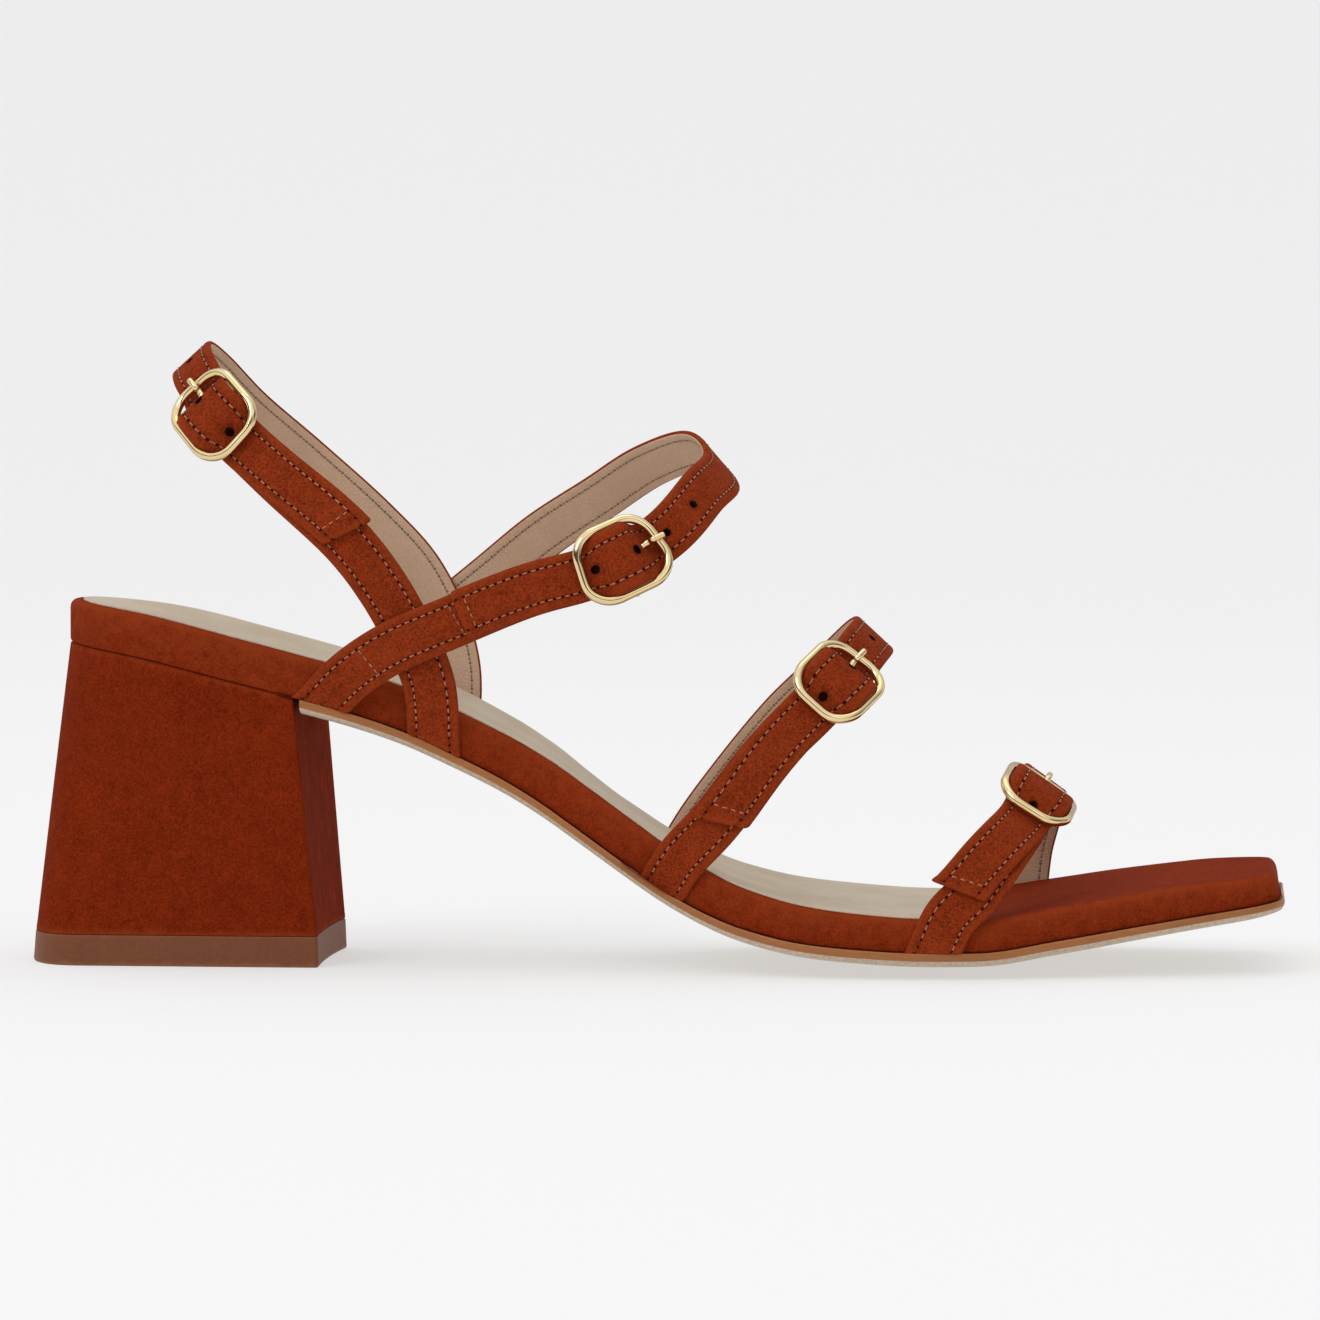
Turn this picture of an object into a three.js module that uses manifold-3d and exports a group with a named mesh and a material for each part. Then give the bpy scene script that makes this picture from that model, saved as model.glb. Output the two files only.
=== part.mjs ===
// A heeled sandal for the right foot: a covered block heel, a wrapped footbed with a thin
// outsole, and an upper of four narrow straps, each closed by a centre-bar buckle.
// Millimetres, +X towards the toe, +Y towards the inner (medial) side, +Z up.
// The origin is on the floor, in the middle of the heel's resting face.

import * as THREE from 'three';
import { mergeVertices } from 'three/addons/utils/BufferGeometryUtils.js';
import Module from 'manifold-3d';

const wasm = await Module();
wasm.setup();

// Driving sizes
const FOOTBED_LENGTH = 233.7; // level length from the back of the seat to the toe
const SEAT_HEIGHT = 61.8; // floor to the underside of the footbed at the back of the heel
const TOE_SPRING = 8.9; // rise of the toe above the ball
const BALL_WIDTH = 77;
const SEAT_WIDTH = 50;
const SEAT_BACK = -22; // back of the seat, behind the heel's centre
const GAP = 0.3; // between pieces that touch

// Footbed, sock and outsole
const BED_THICK_HEEL = 7.5;
const BED_THICK_TOE = 6.1;
const TOE_THINNING = 0.9; // taken off the footbed's top at the very toe
const BED_CROWN = 1.4; // how far the footbed's underside bulges in its middle
const SEAT_CUP = 1.2; // how far the seat is hollowed
const TOP_ROUNDING = 2.0;
const TOE_CORNER = 9;
const HEEL_ROUNDING = 27; // length over which the seat rounds off at the back
const SOCK_THICK = 0.8;
const SOCK_INSET = 2.6;
const SOCK_PROUD = 0.15; // how far the sock stands above the footbed's rim
const SOCK_END = 0.757; // share of the length where the sock stops, under the toe strap
const SOCK_END_SKEW = 4.5;
const SOLE_EDGE = 1.9; // thickness of the outsole's edge band
const SOLE_DEPTH = 5.1; // footbed edge to floor at the ball
const SOLE_FLAT = 0.4; // how much of the crown is pressed flat where it meets the floor
const SOLE_WAIST = 0.35; // share of the outsole's crown that is left in the waist
const SOLE_MARGIN = 1; // how far the outsole stands out past the footbed
const SOLE_BEVEL = 7; // width of the outsole's bevelled border
const MEDIAL_SHIFT = 4; // the ball sits this much further back on the inner side

// Heel
const BREAST_X = 24.6; // front of the heel at the seat
const BREAST_HOLLOW = 1.6;
const HEEL_FOOT_LENGTH = 57.8;
const HEEL_FOOT_WIDTH = 44;
const HEEL_FOOT_ROUNDING = 12;
const LIFT_THICK = 5.9;
const LIFT_FLARE = 0.5;

// Straps
const STRAP_WIDTH = 10.6;
const STRAP_THICK = 1.3;
const STRAP_PROUD = 1.0; // how far a strap stands out past the footbed's side
const STRAP_BURY = 8; // length modelled below the feather line, then trimmed off
const STRAP_STEP = 4; // between a strap's sections, and half of it around the buckle
const HOLE_RADIUS = 0.7;
const HOLE_SPACING = 8.3;
const FIRST_HOLE = -5.4; // first hole, measured from the buckle's bar
const HOLE_COUNT = 4;

// Buckles
const BUCKLE_LENGTH = 18;
const BUCKLE_WIDTH = 15.6;
const WIRE_RADIUS = 0.9;
const BUCKLE_CORNER = 4.8;
const BAR_RADIUS = 0.6;
const LOOP_WALL = 0.5;
const PRONG_RADIUS = 0.6;
const PRONG_OVERHANG = 1.3;
const PRONG_SLOT = 1.4; // half the width of the slot in the strap's loop
const LOOP_ROOM = 2; // half the length of the long strap's level stretch over the loop
const END_DIP = 1.2; // how far both straps are pressed down under the frame's ends
const SETTLE = 7.6; // distance from the bar where the long strap lies level again

const SUEDE = { color: 0x8a3214, roughness: 0.95, metalness: 0 };
const SOCK = { color: 0xcbbda6, roughness: 0.6, metalness: 0 };
const SOLE = { color: 0xb06a2c, roughness: 0.5, metalness: 0 };
const LIFT = { color: 0x7a4a2c, roughness: 0.6, metalness: 0 };
const GOLD = { color: 0xe3bf6a, roughness: 0.2, metalness: 1 };

// Profile of the footbed's underside: arch as a share of the seat's height above the ball,
// spring as a share of TOE_SPRING.
const ARCH = [
  { along: -0.02, arch: 1.02 },
  { along: 0, arch: 1 },
  { along: 0.074, arch: 0.953 },
  { along: 0.147, arch: 0.88 },
  { along: 0.196, arch: 0.83 },
  { along: 0.246, arch: 0.775 },
  { along: 0.287, arch: 0.718 },
  { along: 0.319, arch: 0.66 },
  { along: 0.367, arch: 0.563 },
  { along: 0.401, arch: 0.48 },
  { along: 0.433, arch: 0.39 },
  { along: 0.469, arch: 0.288 },
  { along: 0.502, arch: 0.2 },
  { along: 0.535, arch: 0.129 },
  { along: 0.567, arch: 0.078 },
  { along: 0.614, arch: 0.033 },
  { along: 0.679, arch: 0.008 },
  { along: 0.729, arch: 0 },
  { along: 1.1, arch: 0 },
];
const SPRING = [
  { along: -0.1, spring: 0 },
  { along: 0.757, spring: 0 },
  { along: 0.824, spring: 0.25 },
  { along: 0.888, spring: 0.53 },
  { along: 0.952, spring: 0.8 },
  { along: 1, spring: 1 },
  { along: 1.1, spring: 1.45 },
];
// Plan of the footbed: shares of half the ball width, or of half the seat width behind the waist.
const PLAN = [
  { along: 0, lateral: 0.97, medial: 0.97, seat: 1 },
  { along: 0.132, lateral: 1, medial: 1, seat: 1 },
  { along: 0.207, lateral: 1, medial: 0.98, seat: 1 },
  { along: 0.293, lateral: 0.96, medial: 0.9, seat: 1 },
  { along: 0.378, lateral: 0.94, medial: 0.82, seat: 1 },
  { along: 0.443, lateral: 0.675, medial: 0.545, seat: 0 },
  { along: 0.507, lateral: 0.785, medial: 0.635, seat: 0 },
  { along: 0.57, lateral: 0.905, medial: 0.8, seat: 0 },
  { along: 0.635, lateral: 0.985, medial: 0.935, seat: 0 },
  { along: 0.7, lateral: 1, medial: 1, seat: 0 },
  { along: 0.763, lateral: 0.96, medial: 1, seat: 0 },
  { along: 0.828, lateral: 0.875, medial: 0.955, seat: 0 },
  { along: 0.892, lateral: 0.785, medial: 0.89, seat: 0 },
  { along: 0.955, lateral: 0.705, medial: 0.825, seat: 0 },
  { along: 1, lateral: 0.67, medial: 0.79, seat: 0 },
];

// Each strap runs from the lateral edge of the footbed over the foot to the medial edge.
// along is a share of FOOTBED_LENGTH, out a share of the strap's spread (negative is lateral),
// up a share of its rise above the footbed. The strap's face points to the compass angle
// turn (0 is the toe, 90 medial) and is raised by tilt degrees.
const REAR = {
  spread: 28,
  rise: 50,
  buckle: 80.5,
  tip: 35.8,
  tipSkew: 18,
  tipShift: -1.2,
  rows: [
    { along: 0.314, out: 'wall', up: 'feather', turn: -90, tilt: 0 },
    { along: 0.312, out: -0.985, up: 0.06, turn: -90, tilt: 0 },
    { along: 0.298, out: -1, up: 0.2, turn: -90, tilt: 3 },
    { along: 0.277, out: -1, up: 0.345, turn: -91, tilt: 6 },
    { along: 0.248, out: -0.98, up: 0.48, turn: -93, tilt: 9 },
    { along: 0.185, out: -0.86, up: 0.665, turn: -102, tilt: 16 },
    { along: 0.128, out: -0.63, up: 0.84, turn: -125, tilt: 26 },
    { along: 0.111, out: -0.36, up: 0.945, turn: -146, tilt: 38 },
    { along: 0.102, out: 0, up: 1, turn: 180, tilt: 48 },
    { along: 0.111, out: 0.36, up: 0.955, turn: 140, tilt: 40 },
    { along: 0.136, out: 0.66, up: 0.84, turn: 116, tilt: 28 },
    { along: 0.183, out: 0.87, up: 0.695, turn: 103, tilt: 18 },
    { along: 0.24, out: 0.98, up: 0.52, turn: 94, tilt: 10 },
    { along: 0.275, out: 1, up: 0.39, turn: 91, tilt: 6 },
    { along: 0.298, out: 0.98, up: 0.22, turn: 88, tilt: 3 },
    { along: 0.309, out: 0.9, up: 0.06, turn: 87, tilt: 0 },
    { along: 0.31, out: 'wall', up: 'feather', turn: 87, tilt: 0 },
  ],
};
const INSTEP = {
  spread: 28,
  rise: 71,
  buckle: 65.2,
  tip: 32.2,
  tipSkew: 0,
  tipShift: 0.3,
  rows: [
    { along: 0.222, out: 'wall', up: 'feather', turn: -90, tilt: 0 },
    { along: 0.245, out: -0.955, up: -0.02, turn: -90, tilt: 0 },
    { along: 0.28, out: -1.03, up: 0.095, turn: -89, tilt: 2 },
    { along: 0.333, out: -1.05, up: 0.245, turn: -88, tilt: 4 },
    { along: 0.391, out: -1.05, up: 0.42, turn: -86, tilt: 6 },
    { along: 0.442, out: -1.02, up: 0.58, turn: -82, tilt: 9 },
    { along: 0.475, out: -0.93, up: 0.7, turn: -72, tilt: 18 },
    { along: 0.507, out: -0.76, up: 0.845, turn: -60, tilt: 28 },
    { along: 0.53, out: -0.46, up: 0.985, turn: -38, tilt: 37 },
    { along: 0.541, out: 0, up: 1.06, turn: 0, tilt: 43 },
    { along: 0.52, out: 0.36, up: 1.075, turn: 34, tilt: 45 },
    { along: 0.476, out: 0.66, up: 0.935, turn: 62, tilt: 42 },
    { along: 0.431, out: 0.87, up: 0.74, turn: 78, tilt: 33 },
    { along: 0.381, out: 1.01, up: 0.53, turn: 86, tilt: 20 },
    { along: 0.335, out: 1.05, up: 0.33, turn: 89, tilt: 10 },
    { along: 0.288, out: 1.03, up: 0.135, turn: 90, tilt: 4 },
    { along: 0.257, out: 0.95, up: 0.01, turn: 91, tilt: 0 },
    { along: 0.234, out: 'wall', up: 'feather', turn: 91, tilt: 0 },
  ],
};
const MIDDLE = {
  spread: 33.5,
  rise: 51,
  buckle: 53.6,
  tip: 36,
  tipSkew: -28,
  tipShift: -0.9,
  rows: [
    { along: 0.502, out: 'wall', up: 'feather', turn: -106, tilt: 0 },
    { along: 0.518, out: -0.95, up: -0.01, turn: -104, tilt: 2 },
    { along: 0.545, out: -1, up: 0.19, turn: -97, tilt: 7 },
    { along: 0.587, out: -0.96, up: 0.51, turn: -86, tilt: 16 },
    { along: 0.628, out: -0.81, up: 0.75, turn: -72, tilt: 27 },
    { along: 0.648, out: -0.63, up: 0.855, turn: -58, tilt: 35 },
    { along: 0.661, out: -0.36, up: 0.955, turn: -32, tilt: 43 },
    { along: 0.667, out: 0, up: 1, turn: 0, tilt: 47 },
    { along: 0.656, out: 0.36, up: 0.965, turn: 30, tilt: 45 },
    { along: 0.624, out: 0.71, up: 0.805, turn: 60, tilt: 36 },
    { along: 0.585, out: 0.91, up: 0.59, turn: 78, tilt: 22 },
    { along: 0.541, out: 0.96, up: 0.265, turn: 90, tilt: 10 },
    { along: 0.511, out: 0.86, up: -0.005, turn: 98, tilt: 2 },
    { along: 0.493, out: 'wall', up: 'feather', turn: 100, tilt: 0 },
  ],
};
const TOE = {
  spread: 38,
  rise: 22.8,
  buckle: 42.8,
  tip: 31,
  tipSkew: -26,
  tipShift: 2.5,
  rows: [
    { along: 0.723, out: 'wall', up: 'feather', turn: -88, tilt: 0 },
    { along: 0.736, out: -1.005, up: 0.02, turn: -87, tilt: 1 },
    { along: 0.755, out: -0.98, up: 0.22, turn: -84, tilt: 10 },
    { along: 0.777, out: -0.86, up: 0.52, turn: -75, tilt: 26 },
    { along: 0.794, out: -0.66, up: 0.75, turn: -56, tilt: 42 },
    { along: 0.803, out: -0.42, up: 0.9, turn: -28, tilt: 52 },
    { along: 0.808, out: -0.1, up: 0.98, turn: -3, tilt: 55 },
    { along: 0.807, out: 0.22, up: 0.96, turn: 20, tilt: 52 },
    { along: 0.802, out: 0.54, up: 0.85, turn: 48, tilt: 46 },
    { along: 0.798, out: 0.82, up: 0.63, turn: 70, tilt: 32 },
    { along: 0.79, out: 0.965, up: 0.33, turn: 80, tilt: 16 },
    { along: 0.786, out: 1.01, up: 0.02, turn: 84, tilt: 2 },
    { along: 0.784, out: 'wall', up: 'feather', turn: 84, tilt: 0 },
  ],
};

// Curve through the rows of a table, as a function of its along column.
function through(rows, name) {
  const slope = rows.map((row, i) => {
    const a = rows[Math.max(i - 1, 0)];
    const b = rows[Math.min(i + 1, rows.length - 1)];
    return (b[name] - a[name]) / (b.along - a.along);
  });
  return (along) => {
    const at = Math.min(Math.max(along, rows[0].along), rows[rows.length - 1].along);
    let i = 0;
    while (i < rows.length - 2 && at > rows[i + 1].along) i += 1;
    const span = rows[i + 1].along - rows[i].along;
    const t = (at - rows[i].along) / span;
    const rise = rows[i + 1][name] - rows[i][name];
    return (
      rows[i][name] + rise * t * t * (3 - 2 * t)
      + span * slope[i] * t * (1 - t) ** 2 - span * slope[i + 1] * t * t * (1 - t)
    );
  };
}

const smooth = (low, high, value) => THREE.MathUtils.smoothstep(value, low, high);
const toAlong = (x) => (x - SEAT_BACK) / FOOTBED_LENGTH;
const toX = (along) => SEAT_BACK + along * FOOTBED_LENGTH;
const archAt = through(ARCH, 'arch');
const springAt = through(SPRING, 'spring');
const planRows = PLAN.map((row) => {
  const half = (row.seat ? SEAT_WIDTH : BALL_WIDTH) / 2;
  return { along: row.along, lateral: row.lateral * half, medial: row.medial * half };
});
const lateralAt = through(planRows, 'lateral');
const medialAt = through(planRows, 'medial');

// Height of the footbed's feather line. side runs from -1, lateral, to 1, medial.
function featherZ(x, side) {
  const shift = MEDIAL_SHIFT * smooth(0.3, 0.45, toAlong(x)) * (1 - smooth(0.85, 1, toAlong(x)));
  const along = toAlong(x + shift * (side + 1) / 2);
  return SOLE_DEPTH + archAt(along) * (SEAT_HEIGHT - SOLE_DEPTH) + springAt(along) * TOE_SPRING;
}

function uprightShare(x, side) {
  const slope = (featherZ(x + 1, side) - featherZ(x - 1, side)) / 2;
  return Math.hypot(1, slope); // vertical thickness for each millimetre across the layer
}

function bedThick(x) {
  const along = toAlong(x);
  const front = (BED_THICK_TOE - BED_THICK_HEEL) * smooth(0.5, 0.75, along);
  return BED_THICK_HEEL + front - TOE_THINNING * smooth(0.93, 1, along);
}

function rimZ(x, side) {
  return featherZ(x, side) + bedThick(x) * uprightShare(x, side);
}

function bedTopZ(x, side) {
  const cup = SEAT_CUP * smooth(0, 0.06, toAlong(x)) * (1 - smooth(0.25, 0.6, toAlong(x)));
  return rimZ(x, side) - cup * (1 - side * side);
}

function bedUnderZ(x, side) {
  return featherZ(x, side) - BED_CROWN * (1 - side * side);
}

// Half widths of the footbed at x, with the round seat and the square toe's corners.
function bedHalves(x) {
  const along = toAlong(x);
  const back = Math.min(Math.max((x - SEAT_BACK) / HEEL_ROUNDING, 0), 1);
  const seat = Math.sqrt(1 - (1 - back) ** 2);
  const front = Math.max(TOE_CORNER - (toX(1) - x), 0);
  const corner = TOE_CORNER - Math.sqrt(Math.max(TOE_CORNER ** 2 - front ** 2, 0));
  return [-lateralAt(along) * seat + corner, medialAt(along) * seat - corner];
}

// Stations from one x to another, crowded towards the ends.
function stations(from, to, count, crowdBack = 1, crowdFront = 1) {
  return Array.from({ length: count }, (_, i) => {
    const t = i / (count - 1);
    const eased = (1 - Math.cos(t * Math.PI)) / 2;
    const weight = t < 0.5 ? crowdBack : crowdFront;
    return from + (to - from) * (t + (eased - t) * weight);
  });
}

function toSolid(points, triangles) {
  const vertProperties = new Float32Array(points.flatMap((p) => [p.x, p.y, p.z]));
  const triVerts = new Uint32Array(triangles.flat());
  return new wasm.Manifold(new wasm.Mesh({ numProp: 3, vertProperties, triVerts }));
}

function geometrySolid(source) {
  const bare = source.clone();
  bare.deleteAttribute('normal');
  bare.deleteAttribute('uv');
  const merged = mergeVertices(bare, 1e-4);
  return new wasm.Manifold(new wasm.Mesh({
    numProp: 3,
    vertProperties: new Float32Array(merged.attributes.position.array),
    triVerts: new Uint32Array(merged.index.array),
  }));
}

// A solid between a top and a bottom surface that share a plan. halves gives the plan's
// lateral and medial y at x, shares the columns across it, and levels the loops from the
// top surface down to the bottom one, each with its inset and its height.
function slab({ xs, halves, shares, levels, skew = () => 0, squareBack = false }) {
  const rows = xs.length;
  const columns = shares.length;
  const plan = xs.map((x) => {
    const [lateral, medial] = halves(x);
    return shares.map((share) => new THREE.Vector2(
      x + skew(x) * (2 * share - 1), lateral + (medial - lateral) * share,
    ));
  });
  const rim = [];
  for (let i = 0; i < rows; i += 1) rim.push([i, 0]);
  for (let k = 1; k < columns; k += 1) rim.push([rows - 1, k]);
  for (let i = rows - 2; i >= 0; i -= 1) rim.push([i, columns - 1]);
  for (let k = columns - 2; k > 0; k -= 1) rim.push([0, k]);
  const count = rim.length;
  const edge = rim.map(([i, k]) => plan[i][k]);
  const inward = edge.map((_, j) => {
    const along = edge[(j + 1) % count].clone().sub(edge[(j + count - 1) % count]).normalize();
    return new THREE.Vector2(-along.y, along.x);
  });
  if (squareBack) {
    rim.forEach(([i, k], j) => {
      if (i === 0) inward[j].set(0, k === 0 ? 1 : -(k === columns - 1));
    });
  }
  const points = [];
  const triangles = [];
  const loops = levels.map(({ inset, z }) => rim.map(([, k], j) => {
    const p = edge[j].clone().addScaledVector(inward[j], inset);
    points.push(new THREE.Vector3(p.x, p.y, z(p.x, 2 * shares[k] - 1)));
    return points.length - 1;
  }));
  for (let level = 1; level < loops.length; level += 1) {
    for (let j = 0; j < count; j += 1) {
      const [a, b] = [loops[level - 1], loops[level]];
      const next = (j + 1) % count;
      triangles.push([a[j], b[j], b[next]], [a[j], b[next], a[next]]);
    }
  }
  const cover = (loop, z, up) => {
    const index = plan.map(() => new Array(columns));
    rim.forEach(([i, k], j) => { index[i][k] = loop[j]; });
    for (let i = 1; i < rows - 1; i += 1) {
      const from = points[index[i][0]];
      const to = points[index[i][columns - 1]];
      for (let k = 1; k < columns - 1; k += 1) {
        const x = from.x + (to.x - from.x) * shares[k];
        const y = from.y + (to.y - from.y) * shares[k];
        points.push(new THREE.Vector3(x, y, z(x, 2 * shares[k] - 1)));
        index[i][k] = points.length - 1;
      }
    }
    for (let i = 0; i < rows - 1; i += 1) {
      for (let k = 0; k < columns - 1; k += 1) {
        const quad = [index[i][k], index[i + 1][k], index[i + 1][k + 1], index[i][k + 1]];
        if (!up) quad.reverse();
        triangles.push([quad[0], quad[1], quad[2]], [quad[0], quad[2], quad[3]]);
      }
    }
  };
  cover(loops[0], levels[0].z, true);
  cover(loops[loops.length - 1], levels[levels.length - 1].z, false);
  return toSolid(points, triangles);
}

// Columns across the plan. The outsole's middle two bound the part that rests on the floor.
const ACROSS = [0, 0.12, 0.3, 0.5, 0.7, 0.88, 1];
const SOLE_ACROSS = [0, 0.2, 0.42, 0.58, 0.8, 1];
const BED_STATIONS = stations(SEAT_BACK + 0.1, toX(1), 36, 1, 0.8);

function footbedBlank() {
  return slab({
    xs: BED_STATIONS,
    halves: bedHalves,
    shares: ACROSS,
    levels: [
      { inset: TOP_ROUNDING, z: bedTopZ },
      { inset: TOP_ROUNDING * 0.3, z: (x, side) => rimZ(x, side) - TOP_ROUNDING * 0.3 },
      { inset: 0, z: (x, side) => rimZ(x, side) - TOP_ROUNDING },
      { inset: 0, z: (x, side) => featherZ(x, side) + BED_CROWN },
      { inset: 0.4, z: bedUnderZ },
    ],
  });
}

// The sock, or with room around it the pocket that it is laid in.
function sockSolid(room) {
  const from = SEAT_BACK + SOCK_INSET - room;
  const to = toX(SOCK_END) + room;
  const inset = SOCK_INSET - room;
  const lift = SOCK_PROUD + (room ? TOP_ROUNDING : 0);
  return slab({
    xs: stations(from + 0.1, to, 28, 1, 0.3),
    halves: (x) => {
      const share = (x - from) / (to - from);
      const [lateral, medial] = bedHalves(x - inset * (1 - 2 * share));
      return [lateral + inset * smooth(0, 0.1, share), medial - inset * smooth(0, 0.1, share)];
    },
    shares: ACROSS,
    skew: (x) => SOCK_END_SKEW * smooth(0.6, SOCK_END, toAlong(x)),
    levels: [
      { inset: 0, z: (x, side) => bedTopZ(x, side) + lift },
      { inset: 0, z: (x, side) => bedTopZ(x, side) + SOCK_PROUD - SOCK_THICK - room },
    ],
  });
}

function soleUnderZ(x, side) {
  const along = toAlong(x);
  const full = SOLE_WAIST + (1 - SOLE_WAIST) * smooth(0.42, 0.62, along);
  const share = full * (1 - 0.6 * smooth(0.76, 0.95, along)) * (1 - Math.abs(side) ** 1.25);
  const thick = SOLE_EDGE + (SOLE_DEPTH + SOLE_FLAT - SOLE_EDGE) * share;
  return Math.max(featherZ(x, side) - thick * Math.min(uprightShare(x, side), 1.15), 0);
}

function outsoleSolid() {
  const edgeZ = (x, side) => {
    const slim = 1 - 0.2 * smooth(0.82, 0.98, toAlong(x));
    return featherZ(x, Math.sign(side)) - GAP - SOLE_EDGE * slim;
  };
  const start = BREAST_X + GAP + SOLE_MARGIN;
  return slab({
    xs: [start, ...BED_STATIONS.filter((x) => x > start + 2)],
    squareBack: true,
    halves: bedHalves,
    shares: SOLE_ACROSS,
    levels: [
      { inset: 0.4, z: (x, side) => bedUnderZ(x, side) - GAP },
      { inset: -SOLE_MARGIN, z: (x, side) => bedUnderZ(x, side) - GAP - 0.1 },
      { inset: -SOLE_MARGIN, z: (x, side) => Math.min(edgeZ(x, side), bedUnderZ(x, side) - GAP - 1) },
      { inset: SOLE_BEVEL * 0.3, z: (x, side) => soleUnderZ(x, side * 0.95) },
      { inset: SOLE_BEVEL, z: (x, side) => soleUnderZ(x, side * 0.82) },
    ],
  });
}

// Plan of the heel's foot, with the back rounded off.
function heelFootHalves(x) {
  const back = Math.min(Math.max((x + HEEL_FOOT_LENGTH / 2) / HEEL_FOOT_ROUNDING, 0), 1);
  const round = (1 - (1 - back) ** 2.4) ** (1 / 2.4);
  const taper = 0.95 + 0.05 * smooth(-HEEL_FOOT_LENGTH / 2, HEEL_FOOT_LENGTH / 2, x);
  return [-(HEEL_FOOT_WIDTH / 2) * round * taper, (HEEL_FOOT_WIDTH / 2) * round * taper];
}

// A solid between two plans of the heel, each laid out in rows from its back to the breast,
// where the rows bend in to hollow it.
function heelPart({ low, high, lowZ, highZ }) {
  const rows = 16;
  const spots = stations(0, 1, rows, 1, 0.4);
  const at = (end, share, side) => {
    const x = end.back + 0.1 + (end.front - end.back - 0.1) * share;
    const [lateral, medial] = end.halves(x);
    const hollow = BREAST_HOLLOW * share ** 6 * (1 - side * side);
    return [x - hollow, (lateral + medial) / 2 + side * (medial - lateral) / 2];
  };
  const sides = [-1, -0.75, -0.4, 0, 0.4, 0.75, 1];
  const points = [];
  const triangles = [];
  const layer = (end, z) => spots.map((share) => sides.map((side) => {
    const [x, y] = at(end, share, side);
    points.push(new THREE.Vector3(x, y, z(x, side)));
    return points.length - 1;
  }));
  const top = layer(high, highZ);
  const bottom = layer(low, lowZ);
  const rim = [];
  const last = sides.length - 1;
  for (let i = 0; i < rows; i += 1) rim.push([i, 0]);
  for (let k = 1; k <= last; k += 1) rim.push([rows - 1, k]);
  for (let i = rows - 2; i >= 0; i -= 1) rim.push([i, last]);
  for (let k = last - 1; k > 0; k -= 1) rim.push([0, k]);
  rim.forEach(([i, k], j) => {
    const [n, m] = rim[(j + 1) % rim.length];
    triangles.push([top[i][k], bottom[i][k], bottom[n][m]], [top[i][k], bottom[n][m], top[n][m]]);
  });
  for (let i = 0; i < rows - 1; i += 1) {
    for (let k = 0; k < last; k += 1) {
      const up = [top[i][k], top[i + 1][k], top[i + 1][k + 1], top[i][k + 1]];
      const down = [bottom[i][k], bottom[i][k + 1], bottom[i + 1][k + 1], bottom[i + 1][k]];
      for (const q of [up, down]) triangles.push([q[0], q[1], q[2]], [q[0], q[2], q[3]]);
    }
  }
  return toSolid(points, triangles);
}

const heelFoot = (grow) => ({
  back: -HEEL_FOOT_LENGTH / 2 - grow,
  front: HEEL_FOOT_LENGTH / 2 + grow * 0.5,
  halves: (x) => heelFootHalves(x * HEEL_FOOT_LENGTH / (HEEL_FOOT_LENGTH + 2 * grow))
    .map((half) => half + Math.sign(half) * grow * 0.5),
});

function heelBlock() {
  return heelPart({
    low: heelFoot(-LIFT_FLARE),
    high: { back: SEAT_BACK, front: BREAST_X, halves: bedHalves },
    lowZ: () => LIFT_THICK + GAP,
    highZ: (x, side) => bedUnderZ(x, side) - GAP,
  });
}

function heelLift() {
  return heelPart({
    low: heelFoot(0),
    high: heelFoot(-LIFT_FLARE * 0.8),
    lowZ: () => 0,
    highZ: () => LIFT_THICK,
  });
}

// The strap's centreline with its directions: at(s) gives the point p and the unit vectors
// t along, n out of the strap's face and w across, s millimetres from the lateral feather.
function strapPath(strap) {
  const rows = strap.rows.map((row) => {
    const x = toX(row.along);
    const side = row.turn < 0 && row.turn > -180 ? -1 : 1;
    const [lateral, medial] = bedHalves(x);
    const wall = (side < 0 ? lateral : medial) + side * (STRAP_PROUD - STRAP_THICK / 2);
    return new THREE.Vector3(
      x,
      row.out === 'wall' ? wall : row.out * strap.spread,
      row.up === 'feather' ? featherZ(x, side) : rimZ(x, -1) + row.up * strap.rise,
    );
  });
  const buried = (above, end) => end.clone().sub(above).setY(0).setLength(STRAP_BURY).add(end);
  const spots = [buried(rows[1], rows[0]), ...rows, buried(rows.at(-2), rows.at(-1))];
  const turned = [strap.rows[0], ...strap.rows, strap.rows.at(-1)];
  const faces = turned.map(({ turn, tilt }) => {
    const [a, e] = [THREE.MathUtils.degToRad(turn), THREE.MathUtils.degToRad(tilt)];
    return new THREE.Vector3(Math.cos(a) * Math.cos(e), Math.sin(a) * Math.cos(e), Math.sin(e));
  });
  const line = new THREE.CatmullRomCurve3(spots, false, 'centripetal');
  const facing = new THREE.CatmullRomCurve3(faces, false, 'centripetal');
  line.arcLengthDivisions = 800;
  const length = line.getLength();
  const at = (s) => {
    const share = Math.min(Math.max(s / length, 0), 1);
    const p = line.getPointAt(share);
    const t = line.getTangentAt(share);
    const n = facing.getPoint(line.getUtoTmapping(share));
    n.addScaledVector(t, -n.dot(t)).normalize();
    return { p, t, n, w: new THREE.Vector3().crossVectors(n, t) };
  };
  return { at, length, buckle: STRAP_BURY + strap.buckle };
}

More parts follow.
